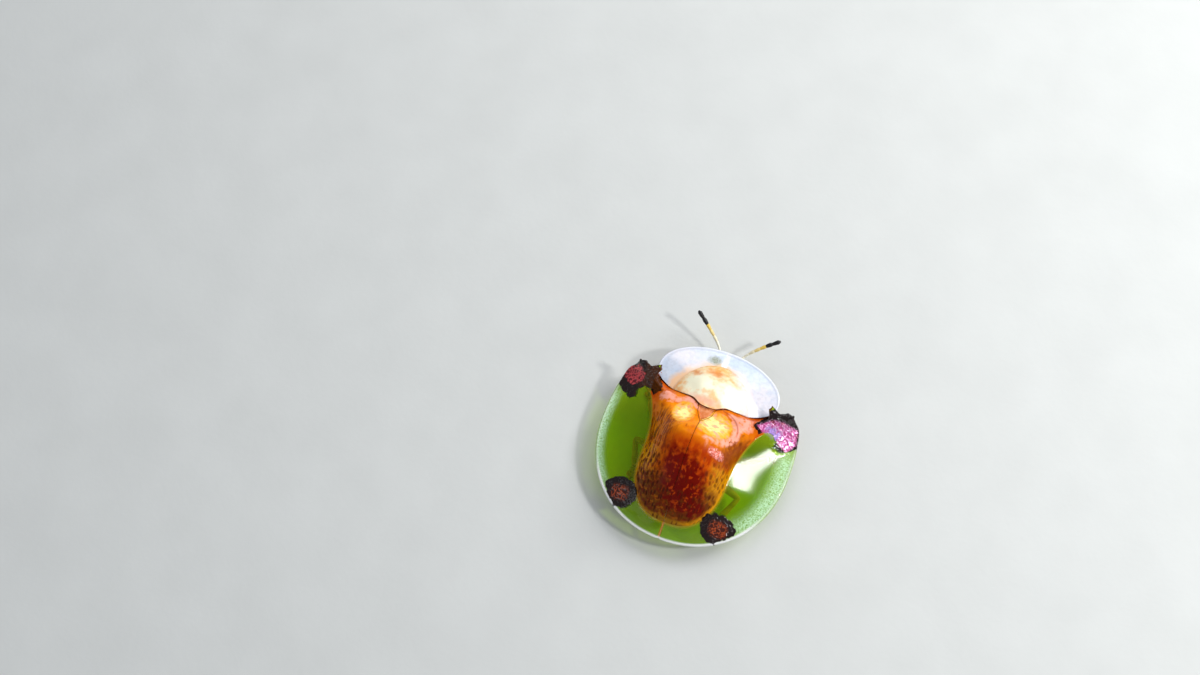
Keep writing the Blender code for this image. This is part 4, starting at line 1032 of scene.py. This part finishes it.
def trunk_ring(station, half_width, lowest, cover, groove=0.0):
    """A ring across the trunk: a shallow keel below, and above it the underside of the plate over it."""
    turn = np.linspace(0, 2 * math.pi, RING_CORNERS, endpoint=False)
    x = half_width * np.sign(np.cos(turn)) * np.abs(np.cos(turn)) ** 0.8
    roof = cover(x, np.full_like(x, station)) - ROOF_CLEARANCE
    side_roof = float(cover(np.array([half_width]), np.array([station]))[0]) - ROOF_CLEARANCE
    seam = lowest + 0.4 * (side_roof - lowest)
    up = np.maximum(np.sin(turn), 0) ** 0.7
    z = np.where(np.sin(turn) > 0, seam + (roof - seam) * up, seam + (seam - lowest) * np.sin(turn))
    z = z + groove * np.exp(-((x / 0.12) ** 2)) * (np.sin(turn) < 0)
    return np.stack([x, np.full_like(x, station), z], axis=-1)


# Straw-yellow with a satin shine, softly blotched and finely specked with brown.
trunk_finish, tree, shader = new_material("underside cuticle, satin straw-yellow", Roughness=0.35)
colour = layered(tree, "#C98F3C", ((0.6, 0.4, 0.7), "#B9772A"), ((0.1, 0.5, 0.8, 0.5, 3.0), "#8A5520"))
finish_with(tree, shader, colour, 0.12, 0.01)
for name, (front, back, half, cover, widths) in TRUNK.items():
    rings = []
    for share in np.linspace(0, 1, TRUNK_RINGS):
        width = np.interp(share, *np.transpose(widths))
        lowest = BELLY_Z + 0.12 * (1 - math.sin(math.pi * min(max(share, 0.02), 0.98)) ** 0.5)
        rings.append(trunk_ring(front + share * (back - front), half * width, lowest, cover, BELLY_GROOVE))
    piece = add_piece(name + "_plates", *loft(rings), trunk_finish)
    hand_over(piece, "underside", name)
front, back, half = ABDOMEN
rings = []
for ventrite in range(VENTRITES):
    for share, rise in VENTRITE:
        way = (ventrite + share) / VENTRITES
        width = max((1 - way**2.6) ** 0.5, 0.25)
        lowest = BELLY_Z - 0.45 * way**1.5 + rise
        rings.append(trunk_ring(front + way * (back - front), half * width, lowest, elytra_height))
abdomen = add_piece("abdomen_plates", *loft(rings), trunk_finish)
hand_over(abdomen, "underside", "abdomen")

# The head hangs below the front of the pronotum, its mouth towards the floor. It is a hard capsule, joined to
# the prothorax by a soft neck, with a lip, two jaws and two pairs of palps.
HEAD = (0.0, 2.25, 1.3)
HEAD_HALF_SIZES = (0.8, 0.5, 0.56)
HEAD_RINGS = 32
# Each bump or dent: (the way it faces from the middle, how wide it is, how far it rises).
HEAD_BUMPS = (
    ((0.0, -0.9, -0.45), 0.5, 0.1),
    ((0.0, -1.0, 0.35), 0.25, -0.05),
    ((0.32, -0.95, 0.0), 0.22, -0.06),
    ((-0.32, -0.95, 0.0), 0.22, -0.06),
    ((0.0, -0.1, -1.0), 0.5, 0.08),
)
rings = []
turn = np.linspace(0, 2 * math.pi, RING_CORNERS, endpoint=False)
for fall in np.linspace(0, math.pi, HEAD_RINGS + 2)[1:-1]:
    level = np.full_like(turn, math.cos(fall))
    way = np.stack([math.sin(fall) * np.cos(turn), math.sin(fall) * np.sin(turn), level], axis=-1)
    reach = np.ones(len(turn))
    for aim, spread, rise in HEAD_BUMPS:
        aim = np.array(aim) / np.linalg.norm(aim)
        reach = reach + rise / 0.5 * np.exp(-((1 - way @ aim) / spread**2 * 2))
    rings.append(np.array(HEAD) + way * reach[:, None] * HEAD_HALF_SIZES)
# The straw-yellow of the trunk, a little glossier and softly blotched.
head_finish, tree, shader = new_material("head cuticle, satin straw-yellow", Roughness=0.3)
colour = layered(tree, "#C98F3C", ((0.3, 0.4, 0.7), "#B57428"))
finish_with(tree, shader, colour, 0.1, 0.008)
head = add_piece("head_capsule", *loft(rings), head_finish)
hand_over(head, "underside", "head")

# Mouthparts, feelers and legs are round tubes grown along lines, as thick as the lines say at each point.
TUBE_SIDES = 20
tube_tree, given, result = new_tree("jointed_limb", [("Sides", "Int"), ("Finish", "Material")])
line = add_node(tube_tree, "GeometryNodeMeshToCurve", None, {0: given["Geometry"]})
thickness = add_node(
    tube_tree, "GeometryNodeInputNamedAttribute", {"data_type": "FLOAT"}, {"Name": "thickness"}
)
ring = add_node(
    tube_tree, "GeometryNodeCurvePrimitiveCircle", None, {"Resolution": given["Sides"], "Radius": 1.0}
)
tube = add_node(
    tube_tree,
    "GeometryNodeCurveToMesh",
    None,
    {
        "Curve": line[0],
        "Profile Curve": ring[0],
        "Scale": thickness["Attribute"],
        "Fill Caps": True,
    },
)
smooth = add_node(tube_tree, "GeometryNodeSetShadeSmooth", None, {"Geometry": tube[0]})
finished = add_node(
    tube_tree, "GeometryNodeSetMaterial", None, {"Geometry": smooth[0], "Material": given["Finish"]}
)
tube_tree.links.new(finished[0], result.inputs["Geometry"])


def joint(start, end, profile, steps=10):
    """A line from start to end with a smooth thickness: the profile is (share of the way, radius)."""
    shares = np.linspace(0, 1, steps + 1)
    points = np.array(start)[None] * (1 - shares[:, None]) + np.array(end)[None] * shares[:, None]
    return points, np.interp(shares, *np.transpose(profile))


def tapered(points, profile):
    """The points with a radius each: the profile is (share of the points, radius)."""
    return points, np.interp(np.linspace(0, 1, len(points)), *np.transpose(profile))


def rounded(points, radii):
    """The line with both ends drawn out and closed in a round cap."""
    points, radii = np.array(points, float), np.array(radii, float)
    bends = np.radians((78, 50, 25))
    head, tail = points[0] - points[1], points[-1] - points[-2]
    head, tail = head / np.linalg.norm(head), tail / np.linalg.norm(tail)
    first = [points[0] + head * radii[0] * 0.6 * math.sin(b) for b in bends]
    last = [points[-1] + tail * radii[-1] * 0.6 * math.sin(b) for b in bends[::-1]]
    caps = [math.cos(b) for b in bends]
    radii = np.concatenate([[radii[0] * c for c in caps], radii, [radii[-1] * c for c in caps[::-1]]])
    return np.vstack([first, points, last]), radii


def add_tubes(name, lines, finish, **tones):
    """Closed round tubes along the lines (points, radii) in millimetres, all in one piece."""
    points, radii, edges = [], [], []
    for line_points, line_radii in lines:
        begun = len(points)
        points += list(line_points)
        radii += list(line_radii)
        edges += [(k, k + 1) for k in range(begun, len(points) - 1)]
    masks = {key: np.concatenate(values) for key, values in tones.items()}
    made = new_object(name, points, edges, [], {"thickness": np.array(radii) * MM, **masks})
    apply_tree(made, tube_tree, Sides=TUBE_SIDES, Finish=finish)
    return made


LIP = ((-0.2, 1.9, 0.82), (-0.07, 1.84, 0.79), (0.07, 1.84, 0.79), (0.2, 1.9, 0.82))
mouth = []
for side in (-1, 1):
    jaw = smooth_line([(side * 0.3, 2.15, 0.9), (side * 0.3, 1.92, 0.68), (side * 0.06, 1.86, 0.6)], 6)
    mouth.append(rounded(*tapered(jaw, ((0, 0.15), (0.5, 0.12), (1, 0.04)))))
    palp = smooth_line([(side * 0.3, 2.3, 0.9), (side * 0.48, 2.15, 0.68), (side * 0.5, 1.9, 0.5)], 6)
    mouth.append(rounded(palp[:7], np.full(7, 0.07)))
    mouth.append(rounded(*tapered(palp[7:], ((0, 0.06), (0.4, 0.08), (1, 0.03)))))
    lower = smooth_line([(side * 0.14, 2.35, 0.85), (side * 0.2, 2.25, 0.62), (side * 0.14, 2.1, 0.5)], 6)
    mouth.append(rounded(lower, np.full(len(lower), 0.055)))
    socket = joint((side * 0.26, 1.95, 1.12), (side * 0.3, 1.72, 1.0), ((0, 0.1), (0.5, 0.16), (1, 0.11)))
    mouth.append(socket)
mouth.append(rounded(LIP, (0.08, 0.12, 0.12, 0.08)))
mouthparts = add_tubes("mouthparts", mouth, head_finish)
hand_over(mouthparts, "underside")

# The eyes bulge from the sides of the head: black domes of several hundred hard lenses, each a raised facet
# with a smaller top. They are fixed to the head, as on the animal.
EYE = (0.94, 2.3, 1.34)
EYE_HALF_SIZES = (0.22, 0.36, 0.4)
EYE_LEAN = math.radians(12)
EYE_DETAIL = 5
FACET_HEIGHT = 0.03
FACET_TOP = 0.7
eye_tree, given, result = new_tree(
    "faceted_eye", [("Detail", "Int"), ("Facet height", "Float"), ("Finish", "Material")]
)
ball = add_node(eye_tree, "GeometryNodeMeshIcoSphere", None, {"Radius": 1.0, "Subdivisions": given["Detail"]})
facets = add_node(eye_tree, "GeometryNodeDualMesh", None, {0: ball[0]})
raised = add_node(
    eye_tree,
    "GeometryNodeExtrudeMesh",
    {"mode": "FACES"},
    {"Mesh": facets[0], "Offset Scale": given["Facet height"], "Individual": True},
)
domed = add_node(
    eye_tree,
    "GeometryNodeScaleElements",
    {"domain": "FACE"},
    {"Geometry": raised[0], "Selection": raised["Top"], "Scale": FACET_TOP},
)
smooth = add_node(eye_tree, "GeometryNodeSetShadeSmooth", None, {"Geometry": domed[0]})
finished = add_node(
    eye_tree, "GeometryNodeSetMaterial", None, {"Geometry": smooth[0], "Material": given["Finish"]}
)
eye_tree.links.new(finished[0], result.inputs["Geometry"])
# Glossy black, with a small glint on each facet that faces a light.
eye_finish, tree, shader = new_material("eye facets, glossy black", Roughness=0.15)
shader.inputs["Base Color"].default_value = linear("#120A08")
for side_name, side in (("left", 1), ("right", -1)):
    eye = new_object(f"eye_{side_name}_facets", [(0, 0, 0)], [], [], {})
    apply_tree(eye, eye_tree, Detail=EYE_DETAIL, Facet_height=FACET_HEIGHT, Finish=eye_finish)
    middle = Vector((side * EYE[0] * MM, FRONT_Y + EYE[1] * MM, EYE[2] * MM))
    sizes = Matrix.Diagonal((*[s * MM for s in EYE_HALF_SIZES], 1.0))
    eye.data.transform(Matrix.Translation(middle) @ Matrix.Rotation(side * EYE_LEAN, 4, "Y") @ sizes)
    hand_over(eye, "eyes", f"eye_{side_name}")

# The feelers are chains of eleven hard joints held forward below the clear rim, each hinged in the one
# before it: slender at the base, thicker outwards, straw-yellow with the last two joints black.
JOINT_LENGTHS = (0.5, 0.24, 0.44, 0.42, 0.42, 0.36, 0.4, 0.4, 0.42, 0.4, 0.58)
JOINT_RADII = (0.13, 0.085, 0.075, 0.075, 0.08, 0.09, 0.105, 0.115, 0.12, 0.145, 0.14)
JOINT_POINTS = 10
JOINT_SWELL = ((0, 0.62), (0.2, 0.8), (0.5, 0.92), (0.8, 1.0), (1, 0.8))
LAST_JOINT_SWELL = ((0, 0.62), (0.2, 0.8), (0.5, 0.95), (0.8, 1.0), (1, 0.45))
FIRST_BLACK_JOINT = 9
FEELERS = {
    "feeler_left": (
        (0.36, 1.62, 0.85), (0.5, 0.75, 0.68), (0.95, -0.32, 0.9), (1.95, -1.18, 1.38), (2.93, -1.84, 1.9),
    ),
    "feeler_right": (
        (-0.36, 1.62, 0.85), (-0.45, 0.75, 0.68), (-0.75, -0.27, 0.87), (-1.6, -1.1, 1.3),
        (-2.62, -1.85, 1.7),
    ),
}
# Ivory at the base, straw-yellow towards the tip, then black, all dull.
feeler_finish, tree, shader = new_material("feeler cuticle, dull straw-yellow with black tips", Roughness=0.4)
colour = layered(tree, "#FAF4DA", (("tint", 0.0, 0.5), "#EECB58"), (("tint", 0.6, 0.9), "#0C0A08"))
finish_with(tree, shader, colour, 0.05, 0.01)
for name, course in FEELERS.items():
    course = smooth_line(course, 24)
    total, begun = sum(JOINT_LENGTHS), 0.0
    lines, tints = [], []
    for number, (length, radius) in enumerate(zip(JOINT_LENGTHS, JOINT_RADII)):
        shares = np.linspace(begun - 0.02, begun + length + 0.01, JOINT_POINTS) / total
        points = along(course, np.clip(shares, 0, 1))
        last = number == len(JOINT_LENGTHS) - 1
        points, swell = tapered(points, LAST_JOINT_SWELL if last else JOINT_SWELL)
        lines.append(rounded(points, radius * swell))
        tint = 1.0 if number >= FIRST_BLACK_JOINT else 0.5 * float(smooth_step(number, 5, 8))
        tints.append(np.full(len(lines[-1][0]), tint))
        begun += length
    feeler = add_tubes(name + "_joints", lines, feeler_finish, tint=tints)
    hand_over(feeler, "feelers", name)

# The legs are hard amber cuticle: hip, thigh, shin, a foot with a two-lobed third joint, and two claws. Each
# grows from a socket in the underside and stands on the flat soles of its foot.
HIP_LENGTH = 0.55
PAD_RINGS = 14
SOLE_CORNERS = 20
# Each leg: its hip, knee and ankle, and the tip of its foot.
LEGS = {
    "leg_front_left": ((0.62, 3.95, 0.86), (2.15, 3.45, 0.92), (2.75, 1.95, 0.42), (2.85, 1.05, 0)),
    "leg_front_right": ((-0.62, 3.95, 0.86), (-2.3, 3.3, 0.92), (-2.75, 1.75, 0.42), (-2.6, 0.85, 0)),
    "leg_middle_left": ((0.95, 6.0, 0.86), (3.1, 5.85, 0.9), (3.75, 4.55, 0.42), (4.25, 3.75, 0)),
    "leg_middle_right": ((-0.95, 6.0, 0.86), (-3.15, 6.2, 0.9), (-4.3, 5.35, 0.42), (-5.1, 5.0, 0)),
    "leg_hind_left": ((1.0, 7.55, 0.86), (3.7, 7.25, 0.85), (3.2, 8.7, 0.42), (3.2, 9.65, 0)),
    "leg_hind_right": ((-1.0, 7.55, 0.86), (-3.7, 8.5, 0.85), (-3.05, 9.95, 0.42), (-2.6, 10.8, 0)),
}
# Radii as (share of the way, radius).
HIP = ((0, 0.26), (0.5, 0.32), (1, 0.27))
THIGH = ((0.0, 0.17), (0.1, 0.2), (0.4, 0.28), (0.65, 0.28), (0.9, 0.21), (1.0, 0.16))
SHIN = ((0.0, 0.13), (0.1, 0.17), (0.5, 0.18), (0.85, 0.22), (1.0, 0.17))
CLAW = ((0, 0.05), (0.5, 0.04), (1, 0.012))
# Parts of the foot: (start, end, how far to the side, half width, height), the first two as shares.
FOOT = (
    (0.0, 0.3, 0.0, 0.17, 0.28),
    (0.27, 0.52, 0.0, 0.2, 0.26),
    (0.48, 0.86, 0.13, 0.17, 0.22),
    (0.48, 0.86, -0.13, 0.17, 0.22),
    (0.62, 1.05, 0.0, 0.085, 0.3),
)


def pad(start, end, across, half_width, height):
    """One joint of a foot, from start to end on the floor: flat below and rounded above."""
    rings = []
    for bend in np.linspace(0.12, math.pi - 0.12, PAD_RINGS):
        share, swell = (1 - math.cos(bend)) / 2, math.sin(bend) ** 0.6
        middle = start + (end - start) * share
        turn = np.linspace(0, 2 * math.pi, SOLE_CORNERS, endpoint=False)
        side = np.cos(turn)[:, None] * across * half_width * swell
        up = 0.5 * height + 0.5 * height * swell * np.sin(turn)
        up = np.where(np.sin(turn) < -0.6, 0.5 * height * (1 - swell * 0.999), up) if swell > 0.9 else up
        rings.append(middle + side + np.stack([0 * up, 0 * up, np.maximum(up, 0)], axis=-1))
    return loft(rings)


# Amber with a satin shine and fine brown specks, dark enough to show through the clear margin.
leg_finish, tree, shader = new_material("leg cuticle, satin straw-yellow", Roughness=0.3)
colour = layered(tree, "#D88E3E", ((0.5, 0.4, 0.7), "#B87028"), ((0.08, 0.55, 0.8, 0.3), "#A8682C"))
finish_with(tree, shader, colour, 0.06, 0.008)
for name, joints in LEGS.items():
    hip, knee, ankle, toe = (np.array(p, float) for p in joints)
    heel = np.array((ankle[0], ankle[1], 0.0))
    ahead = (toe - heel) / np.linalg.norm(toe - heel)
    across = np.array((-ahead[1], ahead[0], 0.0))
    up = np.array((0.0, 0.0, 1.0))
    root = hip + up * HIP_LENGTH
    lines = [
        rounded(*joint(root, hip, HIP)),
        rounded(*joint(hip, knee, THIGH)),
        rounded(*joint(knee, ankle, SHIN)),
    ]
    for side in (-1, 1):
        start = toe - ahead * 0.05 + up * 0.17 + across * side * 0.03
        out = ahead * math.cos(0.5) + across * side * math.sin(0.5)
        hook = smooth_line([start, start + out * 0.18 + up * 0.03, start + out * 0.34 - up * 0.1], 5)
        lines.append(rounded(*tapered(hook, CLAW)))
    leg = add_tubes(name + "_cuticle", lines, leg_finish)
    shape = bmesh.new()
    shape.from_mesh(leg.data)
    for start, end, aside, half_width, height in FOOT:
        begin, stop = heel + (toe - heel) * start, heel + (toe - heel) * end
        points, faces = pad(begin + across * aside, stop + across * aside, across, half_width, height)
        made = [shape.verts.new(Vector((p[0] * MM, FRONT_Y + p[1] * MM, p[2] * MM))) for p in points]
        for face in faces:
            shape.faces.new([made[i] for i in face]).smooth = True
    bmesh.ops.recalc_face_normals(shape, faces=shape.faces)
    shape.to_mesh(leg.data)
    shape.free()
    hand_over(leg, "legs", name)

# The floor is a plain sheet of pale card that the beetle stands on. It is lit by a pale sky and soft panels:
# one ahead, one ahead to the right, a wide faint one behind, and a small one that the clear rim mirrors.
FLOOR_SIZE = 1.2
FLOOR_THICKNESS = 0.004
floor_mesh = bpy.data.meshes.new("floor")
shape = bmesh.new()
bmesh.ops.create_cube(shape, size=1.0, matrix=Matrix.Diagonal((FLOOR_SIZE, FLOOR_SIZE, FLOOR_THICKNESS, 1.0)))
shape.to_mesh(floor_mesh)
shape.free()
floor_mesh.transform(Matrix.Translation((0, 0, -FLOOR_THICKNESS / 2)))
# Matt pale grey, nearly even, that keeps the eye on the beetle and shows through the clear margins.
finish, tree, shader = new_material("floor, matt pale card", Roughness=0.9, Specular_IOR_Level=0.1)
colour = layered(tree, "#DCDEDA", ((4.0, 0.3, 0.7), "#D8DAD6"))
finish_with(tree, shader, colour, 0.5, 0.01)
floor_mesh.materials.append(finish)
floor = bpy.data.objects.new("floor", floor_mesh)
bpy.context.scene.collection.objects.link(floor)

world = bpy.data.worlds.new("pale sky")
world.use_nodes = True
world.node_tree.nodes["Background"].inputs["Color"].default_value = linear("#E6ECFA")
world.node_tree.nodes["Background"].inputs["Strength"].default_value = 0.35
bpy.context.scene.world = world
# Each panel: the way to it from the beetle, how far it is and how wide in metres, and its power in watts.
for label, way, away, size, power in (
    ("panel on the right", (-0.5, -0.6, 0.62), 0.16, 0.08, 0.13),
    ("panel ahead", (0.1, -0.75, 0.65), 0.17, 0.11, 0.07),
    ("fill from behind", (0.45, 0.78, 0.43), 0.25, 0.16, 0.09),
    ("small panel", (-0.727, -0.15, 0.669), 0.15, 0.018, 0.082),
):
    light = bpy.data.lights.new(label, "AREA")
    light.shape, light.size, light.energy = "DISK", size, power
    panel = bpy.data.objects.new(label, light)
    panel.location = Vector(way).normalized() * away
    panel.rotation_mode = "QUATERNION"
    panel.rotation_quaternion = (Vector((0, 0, 0.002)) - panel.location).to_track_quat("-Z", "Y")
    bpy.context.scene.collection.objects.link(panel)

# The camera looks down on the beetle from a little behind, turned so that the head points up and right, and
# shifted sideways and down as in the photograph.
IMAGE_WIDTH, IMAGE_HEIGHT = 1200, 675
LENS, SENSOR = 50, 36
FOCAL = LENS / SENSOR * IMAGE_WIDTH
TILT, LATERAL, ROLL = math.radians(14), math.radians(-5), math.radians(22)
TARGET = Vector((0, 1.0 * MM, 2.2 * MM))
TARGET_PIXEL = (695.2, 441.6)
DISTANCE = 104.2 * MM
back = Vector((math.sin(LATERAL), math.sin(TILT) * math.cos(LATERAL), math.cos(TILT) * math.cos(LATERAL)))
up = (Vector((0, -1, 0)) - back * back.dot(Vector((0, -1, 0)))).normalized()
right = up.cross(back)
up, right = (
    math.cos(ROLL) * up - math.sin(ROLL) * right,
    math.cos(ROLL) * right + math.sin(ROLL) * up,
)
target_x, target_y = TARGET_PIXEL
aim = Vector(((target_x - IMAGE_WIDTH / 2) / FOCAL, (IMAGE_HEIGHT / 2 - target_y) / FOCAL, -1)).normalized()
turned = aim.rotation_difference(Vector((0, 0, -1))).to_matrix()
facing = Matrix((right, up, back)).transposed() @ turned
camera = bpy.data.objects.new("camera", bpy.data.cameras.new("camera"))
camera.data.lens = LENS
camera.data.sensor_width = SENSOR
camera.data.clip_start = 0.001
camera.matrix_world = Matrix.Translation(TARGET + back * DISTANCE) @ facing.to_4x4()
bpy.context.scene.collection.objects.link(camera)
bpy.context.scene.camera = camera
bpy.context.scene.view_settings.view_transform = "Standard"
